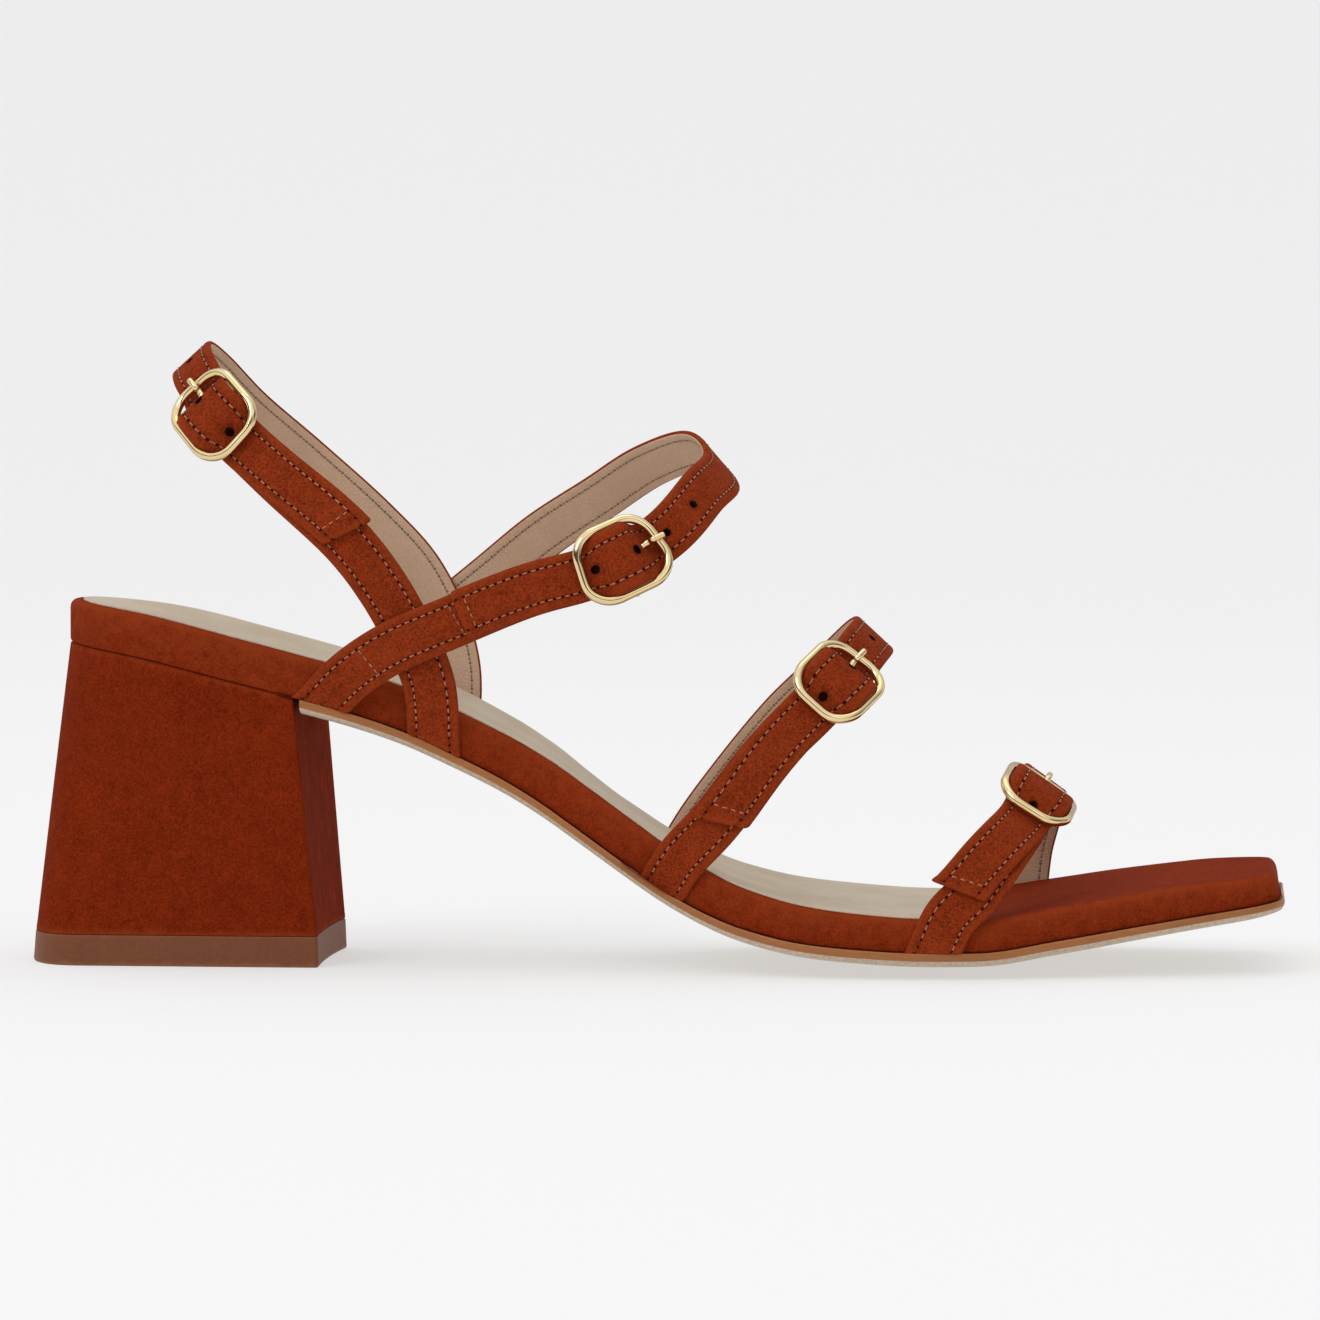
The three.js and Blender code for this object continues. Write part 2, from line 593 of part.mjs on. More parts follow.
// A strap from s = from to s = to, with its lift off the centreline, its sideways shift
// and the slant of its tip given as functions of s.
function ribbon(path, { from, to, lift = () => 0, shift = () => 0, slant = () => 0, room = 0 }) {
  const [low, high] = [Math.min(from, to), Math.max(from, to)];
  const inner = [];
  for (let s = 0; s < high; s += STRAP_STEP / 2) {
    const needed = s % STRAP_STEP === 0 || Math.abs(s - path.buckle) < SETTLE;
    if (needed && s > low + 0.5 && s < high - 0.5) inner.push(s);
  }
  const spots = [low, ...inner, high];
  const count = spots.length - 1;
  const half = STRAP_WIDTH / 2 + room;
  const thick = STRAP_THICK / 2 + room;
  const points = [];
  const triangles = [];
  const corners = [[-1, -1], [1, -1], [1, 1], [-1, 1]];
  for (const s of spots) {
    const { p, t, n, w } = path.at(s);
    for (const [across, out] of corners) {
      points.push(p.clone()
        .addScaledVector(w, across * half + shift(s))
        .addScaledVector(n, out * thick + lift(s))
        .addScaledVector(t, across * half * slant(s)));
    }
  }
  for (let i = 0; i < count; i += 1) {
    for (let k = 0; k < 4; k += 1) {
      const [a, b] = [i * 4 + k, i * 4 + (k + 1) % 4];
      triangles.push([a, b, b + 4], [a, b + 4, a + 4]);
    }
  }
  const last = count * 4;
  triangles.push([0, 2, 1], [0, 3, 2]);
  triangles.push([last, last + 1, last + 2], [last, last + 2, last + 3]);
  return toSolid(points, triangles);
}

const LOOP_RADIUS = BAR_RADIUS + GAP + LOOP_WALL;
const BAR_LIFT = LOOP_RADIUS - STRAP_THICK / 2; // bar's centre above the strap's centreline
const OVER_LOOP = BAR_LIFT + LOOP_RADIUS + GAP + STRAP_THICK / 2;
const OVER_STRAP = STRAP_THICK + GAP;

const BUCKLE_HALF = BUCKLE_LENGTH / 2 - WIRE_RADIUS;
const BUCKLE_SIDE = BUCKLE_WIDTH / 2 - WIRE_RADIUS;

// How far the straps are pressed down under the frame's end bars, u past its middle bar.
function pressed(u) {
  const under = smooth(LOOP_ROOM, BUCKLE_HALF - 2 * WIRE_RADIUS, Math.abs(u));
  return END_DIP * under * (1 - smooth(BUCKLE_HALF + 1, 2 * BUCKLE_HALF, Math.abs(u)));
}

// Height of the long strap above the centreline.
function longLift(u) {
  const resting = u < 0 ? OVER_STRAP : 0;
  return OVER_LOOP + (resting - OVER_LOOP) * smooth(LOOP_ROOM, SETTLE, Math.abs(u)) - pressed(u);
}

const rod = (radius, length, sides) => new THREE.CylinderGeometry(radius, radius, length, sides);

// Places a solid made in the buckle's own axes: u along the strap, w across it, n out.
function seated(solid, path) {
  const { p, t, n, w } = path.at(path.buckle);
  const m = new THREE.Matrix4().makeBasis(t, w, n).setPosition(p);
  return solid.transform(m.elements);
}

function shortStrap(path) {
  const strip = ribbon(path, {
    from: 0,
    to: path.buckle - LOOP_RADIUS * 0.6,
    lift: (s) => -pressed(s - path.buckle),
  });
  const loop = rod(LOOP_RADIUS, STRAP_WIDTH - 0.6, 10);
  const bore = rod(BAR_RADIUS + GAP, STRAP_WIDTH + 4, 10);
  const slot = new THREE.BoxGeometry(4 * LOOP_RADIUS, 2 * PRONG_SLOT, 6);
  const raise = (geometry, u = 0) => geometrySolid(geometry.translate(u, 0, BAR_LIFT));
  return strip
    .add(seated(raise(loop), path))
    .subtract(seated(raise(bore), path))
    .subtract(seated(raise(slot, LOOP_RADIUS * 0.9), path));
}

function longStrap(strap, path) {
  const tip = path.buckle - strap.tip;
  const ease = (s) => 1 - smooth(tip, path.buckle - 6, s);
  const strip = ribbon(path, {
    from: path.length,
    to: tip,
    lift: (s) => longLift(s - path.buckle),
    shift: (s) => strap.tipShift * ease(s),
    slant: (s) => Math.tan(THREE.MathUtils.degToRad(strap.tipSkew)) * (1 - smooth(tip, tip + 9, s)),
  });
  let cut = strip.subtract(seated(prongRod(path, GAP + 0.05), path));
  for (let i = 0; i < HOLE_COUNT; i += 1) {
    const u = FIRST_HOLE + i * HOLE_SPACING;
    const { p, t, n, w } = path.at(path.buckle + u);
    const m = new THREE.Matrix4().makeBasis(t, n, w.clone().negate());
    m.setPosition(p.addScaledVector(n, longLift(u)));
    cut = cut.subtract(geometrySolid(rod(HOLE_RADIUS, 4 * STRAP_THICK, 8)).transform(m.elements));
  }
  return cut;
}

// Height of the frame's wire above the strap's centreline, u past the bar: the end bars
// lie on the long strap.
function wireLift(u) {
  const [low, high] = [-1, 1].map((end) => longLift(end * (BUCKLE_HALF - 2 * WIRE_RADIUS)));
  const share = (u / BUCKLE_HALF + 1) / 2;
  return low + (high - low) * share + STRAP_THICK / 2 + GAP + WIRE_RADIUS;
}

// A point of the frame, which is bent to follow the strap.
function wirePoint(path, u, across) {
  const { p, n, w } = path.at(path.buckle + u);
  return p.addScaledVector(w, across).addScaledVector(n, wireLift(u));
}

function tube(points, radius, sides, closed, up) {
  const spots = [];
  const triangles = [];
  const count = points.length;
  points.forEach((p, i) => {
    const ahead = points[closed ? (i + 1) % count : Math.min(i + 1, count - 1)];
    const behind = points[closed ? (i + count - 1) % count : Math.max(i - 1, 0)];
    const t = ahead.clone().sub(behind).normalize();
    const a = new THREE.Vector3().crossVectors(t, up).normalize();
    const b = new THREE.Vector3().crossVectors(a, t);
    for (let k = 0; k < sides; k += 1) {
      const angle = (k / sides) * 2 * Math.PI;
      spots.push(p.clone()
        .addScaledVector(a, radius * Math.cos(angle))
        .addScaledVector(b, radius * Math.sin(angle)));
    }
  });
  const spans = closed ? count : count - 1;
  for (let i = 0; i < spans; i += 1) {
    const next = (i + 1) % count;
    for (let k = 0; k < sides; k += 1) {
      const l = (k + 1) % sides;
      const [p, q, r, s] = [i * sides + k, i * sides + l, next * sides + l, next * sides + k];
      triangles.push([p, r, q], [p, s, r]);
    }
  }
  if (!closed) {
    const last = (count - 1) * sides;
    for (let k = 1; k < sides - 1; k += 1) {
      triangles.push([0, k, k + 1], [last, last + k + 1, last + k]);
    }
  }
  return toSolid(spots, triangles);
}

function buckleFrame(path) {
  const outline = [];
  const arcs = 4;
  for (const [su, sw, start] of [[1, 1, 0], [-1, 1, 1], [-1, -1, 2], [1, -1, 3]]) {
    for (let i = 0; i <= arcs; i += 1) {
      const angle = (start + i / arcs) * Math.PI / 2;
      const u = su * (BUCKLE_HALF - BUCKLE_CORNER) + BUCKLE_CORNER * Math.cos(angle);
      const w = sw * (BUCKLE_SIDE - BUCKLE_CORNER) + BUCKLE_CORNER * Math.sin(angle);
      outline.push(wirePoint(path, u, w));
    }
  }
  const ring = tube(outline, WIRE_RADIUS, 8, true, path.at(path.buckle).n);
  const bar = geometrySolid(rod(BAR_RADIUS, 2 * BUCKLE_SIDE, 8).translate(0, 0, BAR_LIFT));
  const post = rod(BAR_RADIUS + 0.1, wireLift(0) - BAR_LIFT + BAR_RADIUS, 8).rotateX(Math.PI / 2);
  const middle = (wireLift(0) + BAR_LIFT - BAR_RADIUS) / 2;
  const posts = [-1, 1].map((side) => (
    seated(geometrySolid(post.clone().translate(0, side * BUCKLE_SIDE, middle)), path)
  ));
  return ring.add(seated(bar, path)).add(posts[0]).add(posts[1]);
}

// The prong's rod: from the bar, under the long strap, up through its hole and over the frame.
function prongRod(path, room) {
  const here = path.at(path.buckle);
  const bar = wirePoint(path, BUCKLE_HALF, 0).sub(here.p);
  const [far, aside] = [bar.dot(here.t), bar.dot(here.w)];
  const over = bar.dot(here.n) + WIRE_RADIUS + PRONG_RADIUS + GAP;
  const side = far - WIRE_RADIUS - PRONG_RADIUS - GAP;
  const spots = [
    [LOOP_RADIUS - LOOP_WALL / 2, BAR_LIFT],
    [3.4, BAR_LIFT - 0.1],
    [side - 1.5, BAR_LIFT],
    [side - 0.5, (BAR_LIFT + over) / 2 - 0.3],
    [side - 0.1, over - 1],
    [side + 0.7, over - 0.1],
    [far, over],
    [far + PRONG_OVERHANG, over - 0.1],
  ];
  const points = spots.map(([u, n]) => new THREE.Vector3(u, aside * smooth(1, side, u), n));
  return tube(points, PRONG_RADIUS + room, 6, false, new THREE.Vector3(0, 1, 0));
}

function prong(path) {
  const collar = geometrySolid(rod(LOOP_RADIUS - 0.05, 2 * PRONG_SLOT - 0.8, 10)
    .translate(0, 0, BAR_LIFT));
  const bore = geometrySolid(rod(BAR_RADIUS + GAP, 6, 10).translate(0, 0, BAR_LIFT));
  return seated(collar.add(prongRod(path, 0)).subtract(bore), path);
}

// Everything below the feather line, used to trim the straps where the outsole starts.
function underFeather() {
  return slab({
    xs: [SEAT_BACK - 10, ...BED_STATIONS, toX(1) + 10],
    halves: () => [-BALL_WIDTH, BALL_WIDTH],
    shares: [0, 0.49, 0.51, 1],
    levels: [
      { inset: 0, z: (x, side) => featherZ(x, Math.sign(side)) },
      { inset: 0, z: () => -SEAT_HEIGHT },
    ],
  });
}

// The largest body of a solid, without the crumbs that crossing cuts can leave.
function mainBody(solid) {
  return solid.decompose().reduce((a, b) => (a.volume() > b.volume() ? a : b));
}

function meshOf(name, solid, look) {
  const { vertProperties, triVerts } = solid.getMesh();
  const geometry = new THREE.BufferGeometry();
  geometry.setAttribute('position', new THREE.BufferAttribute(vertProperties, 3));
  geometry.setIndex(new THREE.BufferAttribute(triVerts, 1));
  geometry.computeVertexNormals();
  const mesh = new THREE.Mesh(geometry, new THREE.MeshStandardMaterial(look));
  mesh.name = name;
  return mesh;
}

function buildSandal() {
  const sandal = new THREE.Group();
  const add = (name, solid, look) => sandal.add(meshOf(name, solid, look));
  const paths = {
    rear: strapPath(REAR), instep: strapPath(INSTEP), middle: strapPath(MIDDLE), toe: strapPath(TOE),
  };
  const below = underFeather();
  const short = {};
  const long = {};
  for (const [name, strap] of Object.entries({ rear: REAR, instep: INSTEP, middle: MIDDLE, toe: TOE })) {
    short[name] = shortStrap(paths[name]).subtract(below);
    long[name] = longStrap(strap, paths[name]).subtract(below);
  }
  let bed = footbedBlank().subtract(sockSolid(GAP));
  for (const path of Object.values(paths)) {
    const reach = STRAP_BURY * 4;
    bed = bed.subtract(ribbon(path, { from: 0, to: reach, room: GAP }));
    bed = bed.subtract(ribbon(path, { from: path.length - reach, to: path.length, room: GAP }));
  }
  add('footbed', mainBody(bed), SUEDE);
  add('insole_sock', sockSolid(0), SOCK);
  add('outsole', outsoleSolid(), SOLE);
  add('heel_block', heelBlock(), SUEDE);
  add('heel_top_piece', heelLift(), LIFT);
  add('upper_ankle_lateral', short.rear.add(short.instep), SUEDE);
  add('upper_ankle_medial', long.rear.add(long.instep), SUEDE);
  for (const name of ['middle', 'toe']) {
    add(`strap_${name}_lateral`, short[name], SUEDE);
    add(`strap_${name}_medial`, long[name], SUEDE);
  }
  for (const [name, path] of Object.entries(paths)) {
    add(`buckle_frame_${name}`, buckleFrame(path), GOLD);
    add(`buckle_prong_${name}`, prong(path), GOLD);
  }
  return sandal;
}

export default buildSandal();
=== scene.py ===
# %% [markdown]
# # A heeled sandal with four buckled straps
# The sandal stands on its covered block heel and on the ball of its outsole. A wrapped footbed
# runs from the seat down the arch to a square toe, and four narrow suede straps cross the foot.
# Each strap is two pieces: a short one on the outer side that carries a buckle, and a long one
# from the inner side that runs through the buckle and ends in a tip.
#
# The solid model is loaded first. It is the frame: nothing in it is moved, and every piece that
# is made below takes the place of one of its solids, with the same sizes and finer detail.

# %% Load the solid model
import math

import bpy
import numpy as np
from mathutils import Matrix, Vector


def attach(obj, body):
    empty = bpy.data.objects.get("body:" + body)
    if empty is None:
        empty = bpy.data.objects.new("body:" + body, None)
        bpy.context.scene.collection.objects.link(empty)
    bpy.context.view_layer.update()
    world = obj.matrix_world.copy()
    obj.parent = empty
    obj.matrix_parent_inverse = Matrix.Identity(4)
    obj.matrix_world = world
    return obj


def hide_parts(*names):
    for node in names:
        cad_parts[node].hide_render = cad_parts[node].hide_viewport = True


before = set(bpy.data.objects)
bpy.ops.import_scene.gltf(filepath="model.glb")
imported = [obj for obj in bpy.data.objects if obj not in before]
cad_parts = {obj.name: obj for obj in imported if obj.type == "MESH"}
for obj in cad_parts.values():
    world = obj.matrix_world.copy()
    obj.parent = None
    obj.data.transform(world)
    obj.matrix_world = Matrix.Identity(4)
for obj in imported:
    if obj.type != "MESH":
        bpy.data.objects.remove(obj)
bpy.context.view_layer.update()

# %% [markdown]
# ## Small tools for shaders
# A material in Blender is a graph of nodes. Writing one in Python means adding a node, giving
# each input a number or a link, and carrying on from its output. These helpers do that in one
# line each, so that the recipes below read in the order in which the effects are laid on.

# %% Helpers that add nodes
def feed(tree, target, inputs):
    """Give each named input of a node its link or its number."""
    for name, value in inputs.items():
        if isinstance(value, bpy.types.NodeSocket):
            tree.links.new(value, target.inputs[name])
        else:
            target.inputs[name].default_value = value


def node(tree, kind, settings=None, inputs=None):
    made = tree.nodes.new(kind)
    for name, value in (settings or {}).items():
        setattr(made, name, value)
    feed(tree, made, inputs or {})
    return made


def calc(tree, operation, first, second=0.0, clamp=False):
    settings = {"operation": operation, "use_clamp": clamp}
    return node(tree, "ShaderNodeMath", settings, {0: first, 1: second}).outputs[0]


def times(tree, first, second):
    return calc(tree, "MULTIPLY", first, second)


def object_place(tree):
    """The point's place in its own mesh, so that a pattern stays on its piece."""
    return node(tree, "ShaderNodeTexCoord").outputs["Object"]


def noise(tree, place, scale, detail=2.0, rough=0.5):
    inputs = {"Vector": place, "Scale": scale, "Detail": detail, "Roughness": rough}
    return node(tree, "ShaderNodeTexNoise", None, inputs).outputs["Fac"]


def ramp(tree, value, low, high, start=0.0, end=1.0):
    inputs = {"Value": value, "From Min": low, "From Max": high, "To Min": start, "To Max": end}
    settings = {"interpolation_type": "SMOOTHSTEP", "clamp": True}
    return node(tree, "ShaderNodeMapRange", settings, inputs).outputs["Result"]


def blend_colour(tree, share, first, second, kind="MIX"):
    settings = {"data_type": "RGBA", "blend_type": kind}
    return node(tree, "ShaderNodeMix", settings, {0: share, 6: first, 7: second}).outputs[2]


# %% Helpers that start a group or a finish
def new_group(name, inputs, outputs):
    tree = bpy.data.node_groups.new(name, "ShaderNodeTree")
    for title, kind, value in inputs:
        socket = tree.interface.new_socket(name=title, in_out="INPUT", socket_type=kind)
        socket.default_value = value
    for title, kind in outputs:
        tree.interface.new_socket(name=title, in_out="OUTPUT", socket_type=kind)
    given = tree.nodes.new("NodeGroupInput").outputs
    result = tree.nodes.new("NodeGroupOutput").inputs
    return tree, given, result


def use_group(tree, group, inputs):
    return node(tree, "ShaderNodeGroup", {"node_tree": group}, inputs).outputs


def new_finish(name):
    finish = bpy.data.materials.new(name)
    finish.use_nodes = True
    return finish, finish.node_tree, finish.node_tree.nodes["Principled BSDF"]


def ink(red, green, blue):
    """A colour as it is read off a screen, 0 to 255, as the light that a shader works in."""
    parts = [part / 255 for part in (red, green, blue)]
    light = [p / 12.92 if p <= 0.04045 else ((p + 0.055) / 1.055) ** 2.4 for p in parts]
    return (*light, 1.0)


FLOAT, COLOUR, VECTOR = "NodeSocketFloat", "NodeSocketColor", "NodeSocketVector"

# %% [markdown]
# ## Suede nap
# Suede is leather sanded until its fibres stand up. The fibres lie in small clumps that catch
# the light differently, and a finger drawn over them leaves faint lighter and darker sweeps. The
# group mixes three noises for that: fibres of under half a millimetre, which count most, clumps
# of two to three millimetres, and sweeps of a centimetre. Stretch scales the pattern along an
# axis: a number under 1 draws it out into the streaks of suede that was pulled tight. The height
# goes to a Bump node later.

# %% Shader group: suede nap
CLUMPS_PER_FIBRE = 0.17
nap, given, result = new_group("suede nap", [
    ("Colour", COLOUR, (0.3, 0.05, 0.02, 1.0)), ("Fibres", FLOAT, 2600.0),
    ("Mottle", FLOAT, 0.3), ("Stretch", VECTOR, (1.0, 1.0, 1.0)),
], [("Colour", COLOUR), ("Roughness", FLOAT), ("Height", FLOAT)])
spot = object_place(nap)
pulled = node(nap, "ShaderNodeVectorMath", {"operation": "MULTIPLY"},
              {0: spot, 1: given["Stretch"]}).outputs[0]
fibre = noise(nap, pulled, given["Fibres"], 3.0, 0.7)
clump = noise(nap, pulled, times(nap, given["Fibres"], CLUMPS_PER_FIBRE), 2.0, 0.6)
sweep = noise(nap, spot, 95.0, 2.0, 0.5)
uneven = 0.0
for part, weight in ((clump, 1.0), (sweep, 0.5), (fibre, 4.2)):
    swing = times(nap, calc(nap, "SUBTRACT", part, 0.5), weight)
    uneven = calc(nap, "ADD", uneven, swing)
share = calc(nap, "ADD", times(nap, uneven, given["Mottle"]), 0.5, clamp=True)
deep = blend_colour(nap, 1.0, given["Colour"], (0.45, 0.38, 0.36, 1.0), "MULTIPLY")
pale = blend_colour(nap, 1.0, given["Colour"], (1.55, 1.62, 1.7, 1.0), "MULTIPLY")
nap.links.new(blend_colour(nap, share, deep, pale), result["Colour"])
nap.links.new(ramp(nap, fibre, 0.2, 0.8, 0.82, 0.98), result["Roughness"])
nap.links.new(calc(nap, "ADD", fibre, times(nap, clump, 1.6)), result["Height"])
print("group:", nap.name, "nodes:", len(nap.nodes))

# %% [markdown]
# ## Leather grain
# The lining, the sock and the sole are smooth leather. Its surface is a net of tiny creases round
# flat cells. A Voronoi texture that measures the distance to its cell borders is just such a net.

# %% Shader group: leather grain
grain, given, result = new_group("leather grain", [
    ("Cells", FLOAT, 1100.0), ("Crease", FLOAT, 0.12),
], [("Mask", FLOAT), ("Height", FLOAT)])
spot = object_place(grain)
net = node(grain, "ShaderNodeTexVoronoi", {"feature": "DISTANCE_TO_EDGE"},
           {"Vector": spot, "Scale": given["Cells"]}).outputs["Distance"]
cell = ramp(grain, net, 0.0, given["Crease"])
pores = noise(grain, spot, times(grain, given["Cells"], 2.2), 2.0, 0.6)
grain.links.new(cell, result["Mask"])
grain.links.new(calc(grain, "ADD", cell, times(grain, pores, 0.5)), result["Height"])
print("group:", grain.name, "nodes:", len(grain.nodes))

# %% [markdown]
# ## Handling marks
# Nothing that was made by hand is one even colour: leather is a little darker where it was
# pressed, metal carries faint smudges. A broad noise with finer ones inside it gives soft
# patches, which most finishes below use in their own strength.

# %% Shader group: handling marks
marks, given, result = new_group("handling marks", [
    ("Size", FLOAT, 60.0), ("Contrast", FLOAT, 0.3),
], [("Mask", FLOAT)])
spot = object_place(marks)
broad = noise(marks, spot, given["Size"], 4.0, 0.55)
half_gap = times(marks, given["Contrast"], 0.5)
low_end = calc(marks, "SUBTRACT", 0.5, half_gap)
high_end = calc(marks, "ADD", 0.5, half_gap)
marks.links.new(ramp(marks, broad, low_end, high_end), result["Mask"])
print("group:", marks.name, "nodes:", len(marks.nodes))

# %% [markdown]
# ## Worn and folded edges, with painted highlight
# Along an edge the fibres are stretched over the fold and rubbed, and a rounded edge catches the
# light, so the edge is painted paler than the middle: partly wear, partly painted highlight. Each
# mesh below stores how close a point is to such an edge, from 0 to 1. The group breaks that clean
# band up with noise, so that the paler band comes and goes as wear does on a real shoe.

# %% Shader group: edge wear and painted highlight
edge_wear_and_highlight, given, result = new_group("edge wear and painted highlight", [
    ("Edge", FLOAT, 0.0), ("Amount", FLOAT, 0.5), ("Breakup", FLOAT, 700.0),
], [("Mask", FLOAT)])
spot = object_place(edge_wear_and_highlight)
torn = noise(edge_wear_and_highlight, spot, given["Breakup"], 3.0)
ragged = times(edge_wear_and_highlight, calc(edge_wear_and_highlight, "SUBTRACT", torn, 0.5), 0.9)
near = ramp(edge_wear_and_highlight, calc(edge_wear_and_highlight, "ADD", given["Edge"], ragged), 0.25, 1.0)
near = times(edge_wear_and_highlight, near, ramp(edge_wear_and_highlight, given["Edge"], 0.0, 0.15))
edge_wear_and_highlight.links.new(times(edge_wear_and_highlight, near, given["Amount"]), result["Mask"])
print("group:", edge_wear_and_highlight.name, "nodes:", len(edge_wear_and_highlight.nodes))

# %% [markdown]
# ## Needle holes
# A stitch goes down through a needle hole, and the hole shows as a dark dot between two stitches:
# painted shade, as the strap's mesh has no hole there.
# The strap meshes store a place for each point: how far along the strap it is and how far from
# its middle. With these two numbers the group draws a dot at every stitch on both seams.

# %% Shader group: needle holes
SEAM = 3.1  # mm from the strap's middle to each seam
PITCH = 1.6  # mm from one needle hole to the next
NEEDLE = 0.3  # mm, radius of a needle hole
holes, given, result = new_group("needle holes", [
    ("Place", VECTOR, (0.0, 0.0, 0.0)), ("Pitch", FLOAT, PITCH / 1000),
    ("Seam", FLOAT, SEAM / 1000), ("Radius", FLOAT, NEEDLE / 1000),
], [("Mask", FLOAT)])
parts = node(holes, "ShaderNodeSeparateXYZ", None, {0: given["Place"]}).outputs
pitches = calc(holes, "DIVIDE", parts[0], given["Pitch"])
turns = calc(holes, "FRACT", calc(holes, "ADD", pitches, 0.5))
ahead = times(holes, calc(holes, "SUBTRACT", turns, 0.5), given["Pitch"])
aside = calc(holes, "SUBTRACT", calc(holes, "ABSOLUTE", parts[1]), given["Seam"])
squares = calc(holes, "ADD", times(holes, ahead, ahead), times(holes, aside, aside))
reach = calc(holes, "SQRT", squares)
edge_of_hole = times(holes, given["Radius"], 0.55)
holes.links.new(ramp(holes, reach, edge_of_hole, given["Radius"], 1.0, 0.0), result["Mask"])
print("group:", holes.name, "nodes:", len(holes.nodes))

# %% [markdown]
# ## The finishes
# Each finish is one material: a Principled BSDF with its own gloss and sheen, and the groups
# above feeding its colour, its roughness and its bump. Suede gets sheen, the soft glow that
# standing fibres have when light grazes them.

# %% Helpers: what most finishes share
def press(tree, shader, height, depth):
    """Lay a bump under a finish, with its depth in millimetres."""
    bump = node(tree, "ShaderNodeBump", None,
                {"Height": height, "Distance": depth / 1000, "Strength": 1.0})
    tree.links.new(bump.outputs["Normal"], shader.inputs["Normal"])


def stored(tree, name, output):
    """What the mesh stores under that name."""
    return node(tree, "ShaderNodeAttribute", {"attribute_name": name}).outputs[output]


def rub_and_highlight(tree, amount, breakup=700.0):
    """Edge wear and painted highlight along the edges that the mesh stores."""
    inputs = {"Edge": stored(tree, "edge", "Fac"), "Amount": amount, "Breakup": breakup}
    return use_group(tree, edge_wear_and_highlight, inputs)["Mask"]


def patches(tree, size, contrast):
    return use_group(tree, marks, {"Size": size, "Contrast": contrast})["Mask"]


def needle_dots(tree):
    return use_group(tree, holes, {"Place": stored(tree, "strap_place", "Vector")})["Mask"]


def washed(tree, colour, mask, strength, tint):
    """The colour with a tint washed over it where the mask is."""
    return blend_colour(tree, times(tree, mask, strength), colour, tint)


# The second colour is the paler edge colour: rubbed wear with painted highlight.
RUST, WORN_AND_LIT, DEEP = ink(131, 47, 16), ink(152, 64, 30), ink(58, 17, 6)
GLOW = ink(205, 92, 48)  # what the standing fibres send back where light grazes them
FIBRES = 2300.0

# %% Finish: suede of the straps
strap_suede, tree, shader = new_finish("strap suede")
pile = use_group(tree, nap, {"Colour": RUST, "Fibres": FIBRES, "Mottle": 0.55})
dots = needle_dots(tree)
# Paler strap edges: rubbed wear with painted highlight on the folds.
colour = blend_colour(tree, rub_and_highlight(tree, 0.26), pile["Colour"], WORN_AND_LIT)
# Painted shade: darker in the seam troughs and on the rims of the punched holes.
colour = washed(tree, colour, stored(tree, "seam", "Fac"), 0.45, DEEP)
feed(tree, shader, {
    # Needle holes: painted shade, a dark dot at each hole.
    "Base Color": washed(tree, colour, dots, 0.9, ink(30, 9, 4)),
    "Roughness": pile["Roughness"], "Specular IOR Level": 0.06,
    "Sheen Weight": 0.1, "Sheen Roughness": 0.5, "Sheen Tint": GLOW,
})
press(tree, shader, calc(tree, "SUBTRACT", pile["Height"], times(tree, dots, 3.0)), 0.16)

# %% Finish: raw leather inside the punched holes, painted dark as their shadow
raw_hole_shadow, tree, shader = new_finish("raw hole with painted shadow")
crumbs = noise(tree, object_place(tree), 4200.0, 2.0, 0.7)
feed(tree, shader, {
    "Base Color": blend_colour(tree, crumbs, ink(30, 10, 5), ink(52, 20, 10)),
    "Roughness": 0.95, "Specular IOR Level": 0.05,
})
press(tree, shader, crumbs, 0.05)

# %% Finish: suede wrapped round the footbed and the heel
def wrap_suede(name, colour, streaks=None):
    """Suede pulled over a form. Streaks is the nap's stretch on faces that look forward."""
    finish, tree, shader = new_finish(name)
    pile = use_group(tree, nap, {"Colour": colour, "Fibres": FIBRES, "Mottle": 0.46})
    tone = pile["Colour"]
    if streaks:
        drawn = use_group(tree, nap, {"Colour": colour, "Fibres": FIBRES * 0.8, "Mottle": 0.6,
                                      "Stretch": streaks})
        facing = node(tree, "ShaderNodeNewGeometry").outputs["Normal"]
        forward = node(tree, "ShaderNodeSeparateXYZ", None, {0: facing}).outputs[0]
        tone = blend_colour(tree, ramp(tree, forward, 0.75, 0.95), tone, drawn["Colour"])
    tone = washed(tree, tone, patches(tree, 38.0, 0.5), 0.06, DEEP)
    feed(tree, shader, {
        # Paler rounded edges of the wrap: rubbed wear with painted highlight.
        "Base Color": blend_colour(tree, rub_and_highlight(tree, 0.5, 420.0), tone, WORN_AND_LIT),
        "Roughness": pile["Roughness"], "Specular IOR Level": 0.02,
        "Sheen Weight": 0.04, "Sheen Roughness": 0.45, "Sheen Tint": GLOW,
    })
    press(tree, shader, pile["Height"], 0.13)
    return finish


heel_suede = wrap_suede("heel suede", ink(120, 38, 11), (1.0, 1.0, 0.12))
bed_suede = wrap_suede("footbed suede", ink(122, 40, 13))

# %% [markdown]
# ## Lining, sock and thread
# The inside of each strap is thin beige leather, and the same leather makes the sock that the
# foot rests on. It has a light grain and a dull shine. The thread is waxed and twisted: fine
# diagonal ridges catch the light on every stitch.

